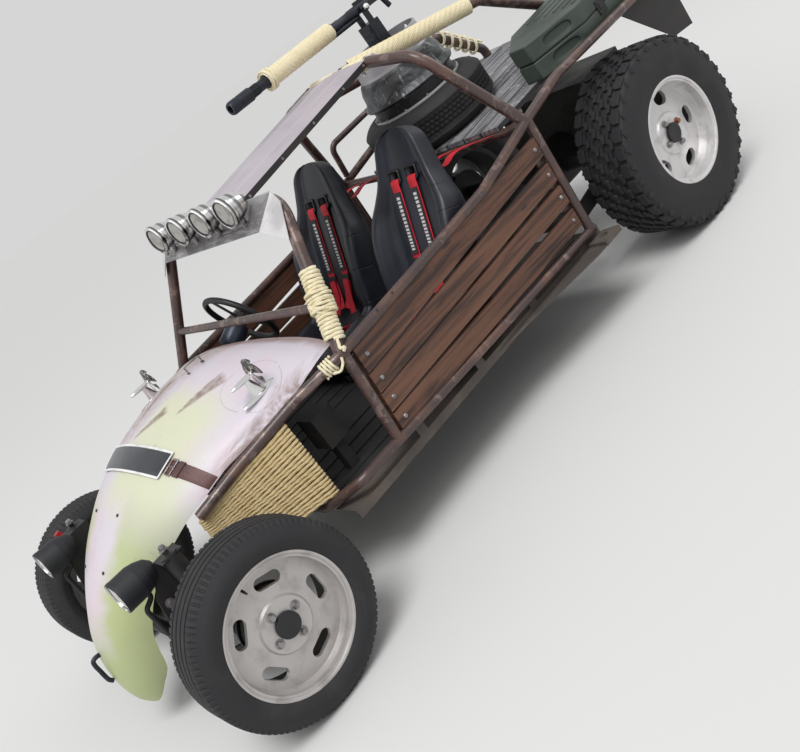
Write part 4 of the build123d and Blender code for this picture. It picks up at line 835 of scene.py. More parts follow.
def belt():
    """Leather belt over the bonnet with its buckle, keepers and holes."""
    strap = strap_band(BELT_LOW_X, BELT_HIGH_X, -0.995, 0.995, 0.0006, 0.0042)
    keepers = [strap_band(BELT_LOW_X - 0.003, BELT_HIGH_X + 0.003, at, at + 0.045, 0.0045, 0.0085, 7, 7)
               for at in (0.74, -0.80)]
    rib_low, rib_high = rib_at(BELT_LOW_X) - 0.03, rib_at(BELT_HIGH_X) + 0.03
    corners = ((rib_low, 0.66), (rib_low, 0.715), (rib_high, 0.715), (rib_high, 0.66), (rib_low, 0.66))
    hoop = evenly(np.array([bonnet_point(rib, share, 0.0065) for rib, share in corners]), 0.002)
    tongue = evenly(np.array([bonnet_point((rib_low + rib_high) / 2, share, 0.0075) for share in (0.662, 0.72)]), 0.004)
    buckle = join(swept(hoop, (0.3, 0.5, 0.8), circle(0.0022, 8)), swept(tongue, (0.0, 0.5, 0.8), circle(0.0016, 8)))
    holes = [strap_band(1.1265, 1.1295, at, at + 0.006, 0.0036, 0.0046, 5, 5) for at in (0.60, 0.635, 0.80, 0.83)]
    piece("belt_strap", strap, "chassis", LEATHER, ["belt"])
    piece("belt_keepers", join(*keepers), "chassis", LEATHER)
    piece("belt_buckle", buckle, "chassis", STEEL_BOLT)
    piece("belt_holes", join(*holes), "chassis", BLACK)


def bonnet_plate():
    """Blank black plate with a white rolled border, resting on the belt."""
    low, high, half = 1.087, 1.170, 0.622
    face = strap_band(low + 0.005, high - 0.005, -half + 0.012, half - 0.012, 0.0055, 0.0080, 9, 41)
    corners = [(low, -half), (low, half), (high, half), (high, -half), (low, -half)]
    route = [bonnet_point(np.linspace(rib_at(a[0]), rib_at(b[0]), 40), np.linspace(a[1], b[1], 40), 0.0068)[:-1]
             for a, b in zip(corners, corners[1:])]
    border = swept(np.concatenate(route), (0.35, 0.0, 0.93), circle(0.0042, 10) * (0.55, 1.0), closed=True)
    piece("plate_face", face, "chassis", PLATE_BLACK, ["bonnet_fittings"])
    piece("plate_border", border, "chassis", PLATE_WHITE)


MASCOT = (0.800, 0.424, 0.733)
MASCOT_HUB = (0.870, 0.424, 0.798)


def mascots():
    """Chrome mascots: a teardrop foot on the bonnet, a pedestal with a tapering eye-shaped section, and a pod."""
    x, y, z = MASCOT
    foot = moved(disc_stack(dome(1.0, 0.006, 1.4), 40), np.diag((0.076, 0.014, 1.0, 1.0)))
    foot = moved(foot, standing((x, y, z + 0.0005), (0.035, 0.56, 0.83), AHEAD))
    rise = np.linspace(0, 1, 14)[:, None]
    angle = np.linspace(0, TAU, 24, endpoint=False)[None]
    chord, thick = 0.030 - 0.020 * rise ** 0.7, 0.0075 - 0.002 * rise
    pedestal = skin(np.stack(np.broadcast_arrays(
        x + 0.010 - 0.012 * (1 - rise) + chord * np.cos(angle),
        y + thick * np.sin(angle) * np.abs(np.sin(angle)) ** 0.2,
        z + 0.002 + (MASCOT_HUB[2] - z - 0.004) * rise), axis=2))
    pod = disc_stack([(0.001, 0.0), (0.005, 0.006), (0.0075, 0.020), (0.009, 0.044), (0.009, 0.076), (0.0032, 0.080),
                      (0.0032, 0.099), (0.001, 0.100)], 28)
    mascot = join(foot, pedestal, moved(pod, standing(MASCOT_HUB, (-1.0, 0.0, 0.0))))
    piece("bonnet_brightwork", join(mascot, mirrored(mascot)), "chassis", CHROME)


def bonnet_bits():
    """The handle at the bonnet's nose, the staple near its rear edge with its feet, and four studs."""
    line = evenly([(1.610, 0.0, 0.356), (1.636, 0.0, 0.362), (1.645, 0.0, 0.350), (1.647, 0.0, 0.278),
                   (1.641, 0.0, 0.262), (1.630, 0.0, 0.258)], 0.004)
    handle = swept(eased(line[::4], 40), (0.0, 1.0, 0.0), circle(0.0078, 14))
    front, rear, y = 0.768, 0.702, -0.050
    line = eased([(rear, y, 0.806), (rear, y, 0.826), (rear + 0.004, y, 0.8335), (front - 0.004, y, 0.8345),
                  (front, y, 0.826), (front, y, 0.806)], 40)
    staple = swept(line, (0.0, 1.0, 0.0), circle(0.0030, 10))
    feet = [box_shape((0.020, 0.007, 0.0035), standing((x, y, 0.8085), UP, (0, 1, 0))) for x in (rear, front)]
    spots = [standing(bonnet_point(rib_at(x), share, 0.0), (0.6, 0.2 * share, 0.8))
             for x, share in ((1.30, 0.30), (1.30, -0.30), (1.45, 0.34), (1.45, -0.34))]
    studs = scatter(round_bolt(0.006, 0.004), spots)
    piece("bonnet_handle", handle, "chassis", GUN_BLACK)
    piece("bonnet_staple", staple, "chassis", STEEL_BOLT)
    piece("bonnet_studs", join(studs, *feet), "chassis", BLACK)


def propellers():
    """Mascot propellers: five broad blades, each lifted by dish (r / R)^2 + twist times its share across."""
    count, tip, hub, half_thick = 5, 0.0500, 0.0085, 0.0007
    reach = np.linspace(hub, tip, 12)[:, None]
    across = np.concatenate([np.linspace(-0.5, 0.5, 11), np.linspace(0.5, -0.5, 11)])[None]
    face = np.where(np.arange(22) < 11, half_thick, -half_thick)[None]
    radius = reach * (1 - 0.10 * np.abs(2 * across) ** 3 * (reach / tip) ** 2)
    height = 0.0905 + 0.007 * (reach / tip) ** 2 + 0.009 * across * (reach / tip) + face
    blades = []
    for start in np.arange(count) * TAU / count:
        angle = start + across * (0.55 + 0.62 * reach / tip)
        blades.append(skin(np.stack([np.cos(angle) * radius, np.sin(angle) * radius, height], axis=2)))
    boss = lathe([(0.0034, 0.086), (0.0100, 0.086), (0.0092, 0.092), (0.0070, 0.0965), (0.0034, 0.0965)], 32)
    for side, name in SIDES:
        place = standing((MASCOT_HUB[0], side * MASCOT_HUB[1], MASCOT_HUB[2]), (-1.0, 0.0, 0.0))
        node = "propeller_" + name
        piece("propeller_blades_" + name, moved(join(*blades), place), node, FAN, [node], sharp=25.0)
        piece("propeller_boss_" + name, moved(boss, place), node, CHROME)


PANEL_POSTS = ((1.178, 0.382), (1.015, 0.440), (0.836, 0.490))
PANEL_LOW, PANEL_HIGH = (0.392, 0.356, 0.338), (0.572, 0.602, 0.630)
PANEL_TURNS = 20
PANEL_OFF = 0.0085


def rope_panel(side, name):
    """Rope wound round three posts: a flat loop in plan that climbs one rope's height a turn."""
    posts = np.array(PANEL_POSTS)
    run = unit(posts[2] - posts[0])
    span = (posts[2] - posts[0]) @ run
    across = np.array([-run[1], run[0]])
    out = [posts[0] - run * 0.012, *(posts + across * PANEL_OFF), posts[2] + run * 0.012]
    loop = np.array(out + list((posts - across * PANEL_OFF)[::-1]) + [out[0]])
    one = evenly(np.c_[loop, np.zeros(len(loop))], 0.012)[:-1, :2]
    plan = np.tile(one, (PANEL_TURNS, 1))
    turn = (np.arange(len(plan)) / len(one) + 0.35) / (PANEL_TURNS + 0.2)
    back = (plan @ run - posts[0] @ run) / span
    places = (0.0, (posts[1] - posts[0]) @ run / span, 1.0)
    low, high = np.interp(back, places, PANEL_LOW), np.interp(back, places, PANEL_HIGH)
    height = low + (high - low) * turn + 0.0012 * np.sin(np.arange(len(plan)) * 0.37)
    wound = rope(np.c_[plan, height], UP, 0.0064)
    bars = [moved(disc_stack([(0.0075, low - 0.016), (0.0075, high + 0.024)], 16), standing((x, y, 0), UP))
            for (x, y), low, high in zip(PANEL_POSTS, PANEL_LOW, PANEL_HIGH)]
    piece("rope_wound_" + name, sided(wound, side), "chassis", ROPE, ["rope_panel_" + name])
    piece("rope_posts_" + name, sided(join(*bars), side), "chassis", TUBE)


def lashings():
    """Rope on the tubes: the post with its knots, the rail, the stay's sleeve, the bar, and the open spiral."""
    low, high = np.array(LOWER_POST), np.array(UPPER_POST)

    def on_post(share):
        """Point on the front post at a share of its length."""
        return low + (high - low) * share

    shapes = [coil(on_post(0.075), on_post(0.515), 0.0213, 0.0128, phase=0.4, wander=0.0008),
              coil(on_post(0.245), on_post(0.375), 0.0335, 0.0135, 0.0055, 1.0, 0.002)]
    for tip in (-0.9, 0.7, -0.4):
        axis = unit(unit(high - low) + tip * np.array([0.0, -1.0, 0.25]))
        spoke = spokes(np.linspace(0, TAU * 1.02, 50), standing(on_post(0.287), axis))
        shapes.append(rope(on_post(0.287) + spoke * 0.0395, spoke, 0.0058))
    tail = eased([on_post(0.10) + (0.01, 0.03, 0.0), on_post(0.05) + (0.016, 0.034, -0.004), (0.574, 0.630, 0.716),
                  (0.584, 0.624, 0.706)], 30)
    shapes.append(rope(tail, AHEAD, 0.0055))
    start, end = np.array(UPPER_RAIL[3]), np.array(UPPER_RAIL[2])
    run = unit(end - start)
    shapes.append(coil(start + run * 0.022, start + run * 0.070, 0.0182, 0.0105, 0.0048))
    hang = eased([start + (0.010, 0.030, 0.004), start + (0.022, 0.034, -0.012), start + (0.040, 0.030, -0.024),
                  start + (0.056, 0.014, -0.020)], 30)
    shapes.append(rope(hang, (0.0, 1.0, 0.0), 0.0046))
    start, end = np.array((-0.436, 0.008, 1.264)), np.array((-1.060, 0.190, 1.168))
    run = unit(end - start)
    shapes.append(coil(start + run * 0.042, end - run * 0.052, 0.0250, 0.0086, 0.0046))
    for first, last in ((-0.188, -0.030), (0.046, 0.188)):
        shapes.append(coil((-0.433, first, 1.262), (-0.433, last, 1.262), 0.0143, 0.0085, 0.0040))
    shapes.append(spiral())
    piece("rope_lashing_turns", join(*shapes), "chassis", ROPE_PALE, ["rope_lashings"])


def spiral():
    """Open spiral down the right tail stay: path + r (cos a, sin a), one turn per pitch, over the stay's bend."""
    top, bend, foot = np.array([(-0.404, -0.440, 1.203), (-1.215, -0.300, 1.085), (-1.490, -0.366, 0.893)])
    upper, lower = bend - top, foot - bend
    pitch, step = 0.058, 0.0012
    route = evenly(eased([top + upper * 0.60, top + upper * 0.80, top + upper * 0.965, bend + lower * 0.06,
                          bend + lower * 0.45, bend + lower * 0.88], 200), step)
    along = unit(np.gradient(route, axis=0))
    lead = unit(np.array((0.0, 1.0, 0.0)) - along * along[:, 1:2])
    angle = (np.arange(len(route)) * step / pitch * TAU)[:, None]
    spoke = np.cos(angle) * lead + np.sin(angle) * np.cross(along, lead)
    return rope(route + spoke * 0.0310, spoke, 0.0068)


def tyre_profile(tread_r, half_tread, half_bulge, half_bead, bulge_r, groove_at, groove_wide, groove_deep, wall_ribs):
    """Outer profile from bead to bead as (radius, height); the tread drops into square grooves."""
    seat, lip = 0.1903, 0.2083
    shoulder = (half_tread + half_bulge) / 2 + 0.002
    wall = eased([(seat, half_bead - 0.0003, 0), (lip, half_bead - 0.0003, 0), (lip + 0.003, half_bead + 0.007, 0),
                  (bulge_r, half_bulge, 0), (tread_r - 0.022, shoulder, 0), (tread_r - 0.004, half_tread + 0.003, 0),
                  (tread_r - 0.001, half_tread - 0.006, 0)], 46)[:, :2]
    wall = wall[np.insert(np.linalg.norm(np.diff(wall, axis=0), axis=1) > 1e-5, 0, True)]
    for at in wall_ribs:
        wall[:, 1] += 0.0012 * np.exp(-((wall[:, 0] - at) / 0.0016) ** 2)
    tread = [(tread_r - deep, at + wide) for at in groove_at
             for deep, wide in ((0, groove_wide), (groove_deep, groove_wide * 0.6), (groove_deep, -groove_wide * 0.6),
                                (0, -groove_wide))]
    return np.concatenate([wall, np.array(tread).reshape(-1, 2), wall[::-1] * (1, -1)])


def road_tyre(name, centre, side, body, replaced):
    """Road tyre: four grooves round it, and shoulder ribs notched by a square wave of the angle."""
    radius, height = tyre_profile(
        tread_r=0.297, half_tread=0.066, half_bulge=0.095, half_bead=0.077, bulge_r=0.243,
        groove_at=(0.040, 0.0135, -0.0135, -0.040), groove_wide=0.0042, groove_deep=0.007, wall_ribs=(0.222, 0.262)).T
    angle = steps_round(576)
    notched = (angle * 96 / TAU % 1.0 < 0.20)[:, None]
    outer = (np.abs(height) > 0.0445) & (radius > 0.283)
    shape = turned(angle, radius - np.where(notched & outer, 0.0045, 0.0), height)
    piece(name, moved(shape, standing(centre, (0, side, 0))), body, RUBBER, replaced, sharp=30.0)


def tread_blocks(outline, base_r, top_r, count, phase, crown_drop):
    """Blocks on a round tread: outline of (pitch share, height), a wall from base to top and a bevelled edge."""
    outline = np.array(outline, float)
    middle = outline.mean(0)
    pitch = TAU / count
    start = (np.arange(count) + phase)[:, None] * pitch
    rings = []
    for radius, scale in ((base_r, 1.0), (top_r - 0.002, 1.0), (top_r, 0.90)):
        share, height = (middle + (outline - middle) * scale).T
        angle = start + share * pitch
        reach = radius - crown_drop * (height / 0.11) ** 2
        rings.append(np.stack(np.broadcast_arrays(np.cos(angle) * reach, np.sin(angle) * reach, height), axis=2))
    return join(*[skin(block) for block in np.stack(rings, axis=1)])


BLOCK_ROWS = (
    # outline of a tread block as (pitch share, height) from the middle out, and the row's phase
    (((0.06, 0.004), (0.50, 0.002), (0.62, 0.018), (0.94, 0.022), (0.90, 0.036), (0.44, 0.034), (0.36, 0.020),
      (0.02, 0.018)), 0.0),
    (((0.08, 0.042), (0.42, 0.040), (0.56, 0.054), (0.92, 0.056), (0.86, 0.068), (0.40, 0.070), (0.30, 0.056),
      (0.04, 0.056)), 0.45),
    (((0.10, 0.076), (0.80, 0.074), (0.88, 0.090), (0.84, 0.108), (0.14, 0.110), (0.06, 0.092)), 0.2))
BLOCK_COUNT = 34
BLOCK_BASE_R, BLOCK_TOP_R, BLOCK_DROP = 0.353, 0.3695, 0.0035
BITER_R, BITER_OUT = 0.343, 0.1165
BITER_LONG, BITER_SHORT = (0.016, 0.018, 0.0055), (0.016, 0.013, 0.0055)
NUT_CIRCLE_R = 0.056
FRONT_FACE, REAR_FACE = 0.056, 0.062  # the rims' outer faces, out from their hubs


def block_tyre(name, centre, side, body, replaced):
    """All-terrain tyre: a smooth carcass, two rows of hooked centre blocks and shoulder blocks with side biters."""
    carcass = tyre_profile(tread_r=0.357, half_tread=0.106, half_bulge=0.129, half_bead=0.111, bulge_r=0.268,
                           groove_at=(), groove_wide=0.0, groove_deep=0.0, wall_ribs=(0.226, 0.232, 0.318))
    shapes = [lathe(carcass, 160)]
    for outline, phase in BLOCK_ROWS:
        shapes.append(tread_blocks(outline, BLOCK_BASE_R, BLOCK_TOP_R, BLOCK_COUNT, phase, BLOCK_DROP))
        shapes.append(tread_blocks([(-share, -height) for share, height in outline], BLOCK_BASE_R, BLOCK_TOP_R,
                                   BLOCK_COUNT, phase + 0.5, BLOCK_DROP))
    biter = disc_stack([(1.0, 0.0), (0.92, 0.9), (0.80, 1.0)], 4)
    for wall, phase in ((1, 0.2), (-1, 0.7)):
        for k in range(BLOCK_COUNT):
            turn = (k + phase + 0.47 * wall) * TAU / BLOCK_COUNT
            spoke = (math.cos(turn), math.sin(turn), 0)
            matrix = standing((BITER_R * spoke[0], BITER_R * spoke[1], wall * BITER_OUT), (0, 0, wall), spoke)
            matrix[:3, :3] = matrix[:3, :3] @ np.diag(BITER_LONG if k % 2 else BITER_SHORT)
            shapes.append(moved(biter, matrix))
    piece(name, moved(join(*shapes), standing(centre, (0, side, 0))), body, RUBBER, replaced, sharp=30.0)


def wheel_trim(name, centre, side, body, face):
    """Wheel nuts on washers, the valve and the dark cap of one wheel; one nut of the left rear wheel is an odd one."""
    base = standing(centre, (0, side, 0))
    nut = hex_bolt(0.021, 0.014, 0.0150)
    spots = [base @ standing((NUT_CIRCLE_R * math.cos(t + 0.4), NUT_CIRCLE_R * math.sin(t + 0.4), face), UP)
             for t in steps_round(4)]
    odd = name == "rear_left"
    piece("nuts_" + name, scatter(nut, spots[:3] if odd else spots), body, STEEL_BOLT)
    if odd:
        piece("odd_nut_" + name, scatter(nut, spots[3:]), body, COPPER_BOLT)
    cap = disc_stack([(0.0395, face - 0.002), (0.0395, face + 0.0106), (0.0360, face + 0.0125), (0.0300, face + 0.0118),
                      (0.001, face + 0.0112)], 36)
    stem = disc_stack([(0.0042, 0.0), (0.0042, 0.020), (0.0030, 0.022), (0.0030, 0.030)], 12)
    valve = moved(stem, base @ standing((0.172, 0.030, face - 0.014), (-0.35, 0, 1)))
    piece("cap_" + name, join(moved(cap, base), valve), body, BLACK)


def wheels():
    """Tyres and trim at all four corners."""
    for side, name in SIDES:
        front, rear = [(x, side * y, z) for x, y, z in (FRONT_HUB, REAR_HUB)]
        road_tyre("road_tyre_" + name, front, side, "wheel_front_" + name, ["tyre_front_" + name])
        block_tyre("block_tyre_" + name, rear, side, "wheel_rear_" + name, ["tyre_rear_" + name])
        wheel_trim("front_" + name, front, side, "wheel_front_" + name, FRONT_FACE)
        wheel_trim("rear_" + name, rear, side, "wheel_rear_" + name, REAR_FACE)


# Seats. Section of the bucket as (share of half width, lift as a share of the wing, depth as a share of the shell).
SECTION = ((0.0, 0.0, 0.0), (0.36, 0.0, 0.0), (0.60, 0.05, 0.0), (0.72, 0.55, 0.0), (0.81, 0.94, 0.0), (0.90, 1.0, 0.0),
           (0.975, 0.84, 0.0), (1.0, 0.45, 0.0), (0.995, 0.0, 0.25), (0.94, 0.0, 0.80), (0.78, 0.0, 1.0),
           (0.40, 0.0, 1.05), (0.0, 0.0, 1.06))
BACK_STATIONS = (
    # rise on the back, half width, wing height, shell depth
    (0.676, 0.020, 0.004, 0.020), (0.664, 0.072, 0.010, 0.045), (0.630, 0.112, 0.016, 0.060),
    (0.570, 0.134, 0.018, 0.066), (0.500, 0.156, 0.022, 0.068), (0.440, 0.190, 0.034, 0.068),
    (0.380, 0.222, 0.052, 0.068), (0.300, 0.234, 0.072, 0.068), (0.200, 0.234, 0.078, 0.068),
    (0.110, 0.233, 0.072, 0.068), (0.045, 0.233, 0.072, 0.064))
CUSHION_STATIONS = (
    # x, z, half width, wing height, shell depth
    (0.035, 0.416, 0.233, 0.078, 0.058), (0.095, 0.426, 0.233, 0.070, 0.060), (0.165, 0.443, 0.233, 0.048, 0.070),
    (0.225, 0.457, 0.232, 0.018, 0.078), (0.260, 0.452, 0.226, 0.004, 0.070), (0.276, 0.425, 0.215, 0.0, 0.048),
    (0.279, 0.392, 0.200, 0.0, 0.030))
SLOT_RISE, SLOT_ACROSS, SLOT_WIDE, SLOT_TALL = 0.508, 0.051, 0.058, 0.042


def on_back(rise, across, off, seat_y):
    """Point on a seat back at a rise, an offset across and one in front of it."""
    return np.array((HIP[0], seat_y + across, HIP[1])) + np.array(BACK_UP) * rise + np.array(BACK_AHEAD) * off


def bucket(seat_y):
    """Bucket seat: the closed section carried down the back and along the cushion, scaled at each station."""
    back = [(*on_back(rise, 0.0, 0.0, 0.0)[[0, 2]], half, wing, depth) for rise, half, wing, depth in BACK_STATIONS]
    table = eased(np.array(back + list(CUSHION_STATIONS)), 150)
    place, (half, wing, depth) = table[:, :2], table[:, 2:].T[..., None]
    run = unit(np.gradient(place, axis=0))
    loop = SECTION + tuple((-share, lift, deep) for share, lift, deep in SECTION[-2:0:-1]) + (SECTION[0],)
    share, wing_share, depth_share = eased(np.array(loop), 145)[:-1].T
    crown_in = 0.010 * (1 - np.minimum(np.abs(share) / 0.6, 1.0) ** 2) * (depth_share < 0.1)
    lift = wing_share * wing - depth_share * depth + crown_in * np.minimum(half / 0.2, 1.0)
    return skin(np.stack([place[:, :1] - run[:, 1:] * lift, seat_y + share * half, place[:, 1:] + run[:, :1] * lift],
                         axis=2))


def box_shape(size, matrix):
    """A plain box of a size, set by a matrix."""
    corners = np.array([(x, y, z) for x in (-1, 1) for y in (-1, 1) for z in (-1, 1)]) * np.array(size) / 2
    faces = np.array([(0, 1, 3, 2), (4, 6, 7, 5), (0, 4, 5, 1), (2, 3, 7, 6), (0, 2, 6, 4), (1, 5, 7, 3)])
    return moved(outward((corners, [faces], [np.zeros((6, 4, 2))])), matrix)


def level_box(size, centre):
    """A box whose sizes run along the car, across it and up."""
    return box_shape(size, standing(centre, UP, AHEAD))


def cut(target, cutter):
    """Subtracts one object from another and removes the cutter."""
    bite = target.modifiers.new("bite", "BOOLEAN")
    bite.operation, bite.object, bite.solver = "DIFFERENCE", cutter, "EXACT"
    graph = bpy.context.evaluated_depsgraph_get()
    fresh = bpy.data.meshes.new_from_object(target.evaluated_get(graph), depsgraph=graph)
    target.modifiers.remove(bite)
    target.data = fresh
    bpy.data.objects.remove(cutter)


def softened(target, width, segments=3, angle=30.0):
    """Rounds the hard edges of a piece."""
    bevel = target.modifiers.new("rounding", "BEVEL")
    bevel.width, bevel.segments, bevel.limit_method = width, segments, "ANGLE"
    bevel.angle_limit = math.radians(angle)
    return target


def ribbon(points, wide, thick=0.0026, lead=(0, 1, 0)):
    """Flat strap: a rounded rectangle carried along a path, its width along the lead."""
    half, edge = wide / 2, thick / 2
    outline = np.array([(-half, -edge * 0.4), (-half * 0.97, -edge), (half * 0.97, -edge), (half, -edge * 0.4),
                        (half, edge * 0.4), (half * 0.97, edge), (-half * 0.97, edge), (-half, edge * 0.4)])
    return swept(points, lead, outline)


def pad_chart(shape, rows):
    """A strap with its chart laid anew: across its outline's top face, and along its rows."""
    points, faces, _ = shape
    across = np.tile((0.0, 0.0, 1.0, 1.0, 1.0, 1.0, 0.0, 0.0), rows)
    along = np.repeat(np.linspace(0, 1, rows), 8)
    return points, faces, [np.stack([across[side], along[side]], axis=2) for side in faces]


def seats():
    """Both bucket seats with their slots, slot frames and floor runners."""
    oval = squared_oval(SLOT_WIDE / 2 + 0.003, SLOT_TALL / 2 + 0.003, 0.35, 0.35, 48)
    for side, name in SIDES:
        seat_y = side * SEAT_Y
        seat = piece("bucket_seat_" + name, bucket(seat_y), "chassis", VINYL, ["seats"], sharp=70.0)
        frames = []
        for across in (-SLOT_ACROSS, SLOT_ACROSS):
            spot = standing(on_back(SLOT_RISE, across, -0.03, seat_y), BACK_AHEAD, (0, 1, 0))
            hole = box_shape((SLOT_WIDE, SLOT_TALL, 0.3), spot)
            cut(seat, piece("slot_cutter", hole, "chassis", BLACK))
            for off in (0.0115, -0.0745):
                loop = np.array([on_back(SLOT_RISE + up, across + out, off, seat_y) for out, up in oval])
                frames.append(swept(loop, BACK_AHEAD, circle(0.0052, 10) * (0.8, 1.0), closed=True))
        piece("slot_frames_" + name, join(*frames), "chassis", BLACK)
        runners = [level_box((0.30, 0.030, 0.030), (0.09, seat_y + across, 0.322)) for across in (-0.15, 0.15)]
        runners += [level_box((0.03, 0.33, 0.045), (x, seat_y, 0.355)) for x in (-0.03, 0.20)]
        softened(piece("seat_runners_" + name, join(*runners), "chassis", BLACK), 0.003)


def harness():
    """Shoulder straps with pads and adjusters, lap and crotch straps, buckles and the straps to the cross tube."""
    straps, pads, metal, buckles = [], [], [], []
    for side, _ in SIDES:
        seat_y = side * SEAT_Y

        def point(rise, across, off):
            """Point on this seat's back."""
            return on_back(rise, across, off, seat_y)

        for turn in (-1, 1):
            a = turn * SLOT_ACROSS
            shoulder = [point(0.492, a, -0.030), point(0.500, a, 0.004), point(0.487, a, 0.0155),
                        point(0.440, a, 0.0135), point(0.300, a * 1.02, 0.0125), point(0.200, a * 0.98, 0.0120),
                        point(0.120, a * 0.72, 0.016), point(0.070, a * 0.45, 0.030)]
            loose_end = [point(0.190, a, 0.019), point(0.120, a * 0.9, 0.022), point(0.050, a * 1.2, 0.034)]
            behind = [point(0.499, a, -0.020), point(0.500, a, -0.082), point(0.500, a, -0.120) + (-0.02, 0, -0.012),
                      (-0.420, seat_y + a, 0.832), (-0.5955, seat_y + a, 0.7805)]
            lap = [(0.012, seat_y + turn * 0.150, 0.452), (0.040, seat_y + turn * 0.115, 0.444),
                   (0.070, seat_y + turn * 0.065, 0.446), (0.082, seat_y + turn * 0.028, 0.452)]
            straps += [ribbon(eased(shoulder, 90), 0.046), ribbon(eased(loose_end, 30), 0.038),
                       ribbon(eased(behind, 60), 0.042), ribbon(eased(lap, 30), 0.045, lead=(0.6, 0, 0.8))]
            cover = [point(0.455, a, 0.0170), point(0.330, a, 0.0160), point(0.225, a, 0.0150)]
            pads.append(pad_chart(ribbon(eased(cover, 40), 0.036, 0.0062), 40))
            facing = standing(point(0.195, a * 0.98, 0.0165), BACK_AHEAD, (0, 1, 0))
            metal.append(box_shape((0.050, 0.030, 0.004), facing))
        crotch = [(0.092, seat_y, 0.452), (0.150, seat_y + 0.008, 0.4565), (0.215, seat_y + 0.012, 0.4745),
                  (0.262, seat_y + 0.014, 0.4680), (0.284, seat_y + 0.014, 0.430), (0.286, seat_y + 0.014, 0.385)]
        straps.append(ribbon(eased(crotch, 50), 0.042))
        buckle = disc_stack([(0.030, -0.006), (0.032, 0.0), (0.030, 0.008), (0.024, 0.011), (0.008, 0.0115)], 32)
        buckles.append(moved(buckle, standing((0.084, seat_y, 0.4545), (-0.15, 0, 1))))
    piece("harness_straps", join(*straps), "chassis", WEB, ["harness"], sharp=50.0)
    piece("harness_pads", join(*pads), "chassis", pad_cloth(), sharp=60.0)
    softened(piece("harness_adjusters", join(*metal), "chassis", BLACK), 0.0012, 2)
    piece("harness_buckles", join(*buckles), "chassis", RED_TAG)


def lens(radius, bulge, back):
    """Lamp glass: a flat back and a bulged face of (r sin t, b cos t less its setback)."""
    face = [(radius * math.sin(t), bulge * math.cos(t) - back) for t in np.linspace(1.57, 0.02, 9)]
    return disc_stack([(radius, -0.006)] + face, 48)


SPOT_R, SPOT_Z, SPOTS_Y = 0.055, 1.192, (-0.285, -0.095, 0.095, 0.285)
SPOT_NUT_X, SPOT_NUT_Z = 0.416, 1.156
HEADLAMP = (1.5035, 0.372, 0.583)


def lamps():
    """Lenses, rims, seals and nuts of the four spot lamps, and the lenses and rims of the headlamp pods."""
    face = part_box("spot_lamps")[1][0]
    rim = lathe([(SPOT_R - 0.008, -0.004), (SPOT_R - 0.008, 0.002), (SPOT_R - 0.004, 0.0035), (SPOT_R + 0.0012, 0.001),
                 (SPOT_R + 0.0022, -0.008), (SPOT_R + 0.0006, -0.0155), (SPOT_R - 0.002, -0.0155),
                 (SPOT_R - 0.002, -0.004)])
    seal = lathe([(SPOT_R - 0.0120, -0.004), (SPOT_R - 0.0120, 0.0016), (SPOT_R - 0.0078, 0.0024),
                  (SPOT_R - 0.0078, -0.004)])
    fronts = [standing((face, y, SPOT_Z), AHEAD) for y in SPOTS_Y]
    feet = [standing((SPOT_NUT_X, y, SPOT_NUT_Z), (0, 0, -1)) for y in SPOTS_Y]
    piece("spot_lenses", scatter(lens(SPOT_R - 0.0075, 0.0055, 0.0035), fronts), "chassis", LENS)
    piece("spot_rims", scatter(rim, fronts), "chassis", LAMP_CHROME)
    piece("spot_seals", scatter(seal, fronts), "chassis", BLACK)
    piece("spot_nuts", scatter(hex_bolt(0.019, 0.010), feet), "chassis", STEEL_BOLT)
    rim = lathe([(0.0490, -0.002), (0.0490, 0.0040), (0.0530, 0.0045), (0.0546, 0.0), (0.0546, -0.010),
                 (0.0515, -0.010)])
    line = lathe([(0.0478, 0.0), (0.0478, 0.0042), (0.0492, 0.0048), (0.0496, 0.0)])
    for side, name in SIDES:
        front = standing((HEADLAMP[0], side * HEADLAMP[1], HEADLAMP[2]), (1, 0, 0.05))
        piece("headlamp_lens_" + name, moved(lens(0.0485, 0.006, 0.003), front), "chassis", LENS)
        piece("headlamp_rim_" + name, moved(rim, front), "chassis", MATT_BLACK)
        piece("headlamp_line_" + name, moved(line, front), "chassis", CHROME)


TURRET_BASE = TURRET_FOOT + 0.0003
TURRET_TREAD_R, TURRET_BEAD_R = 0.2849, 0.1963
GROOVES_AT = (0.062, 0.080, 0.098, 0.116)
NOTCHES, NOTCH_DEEP = 80, 0.004


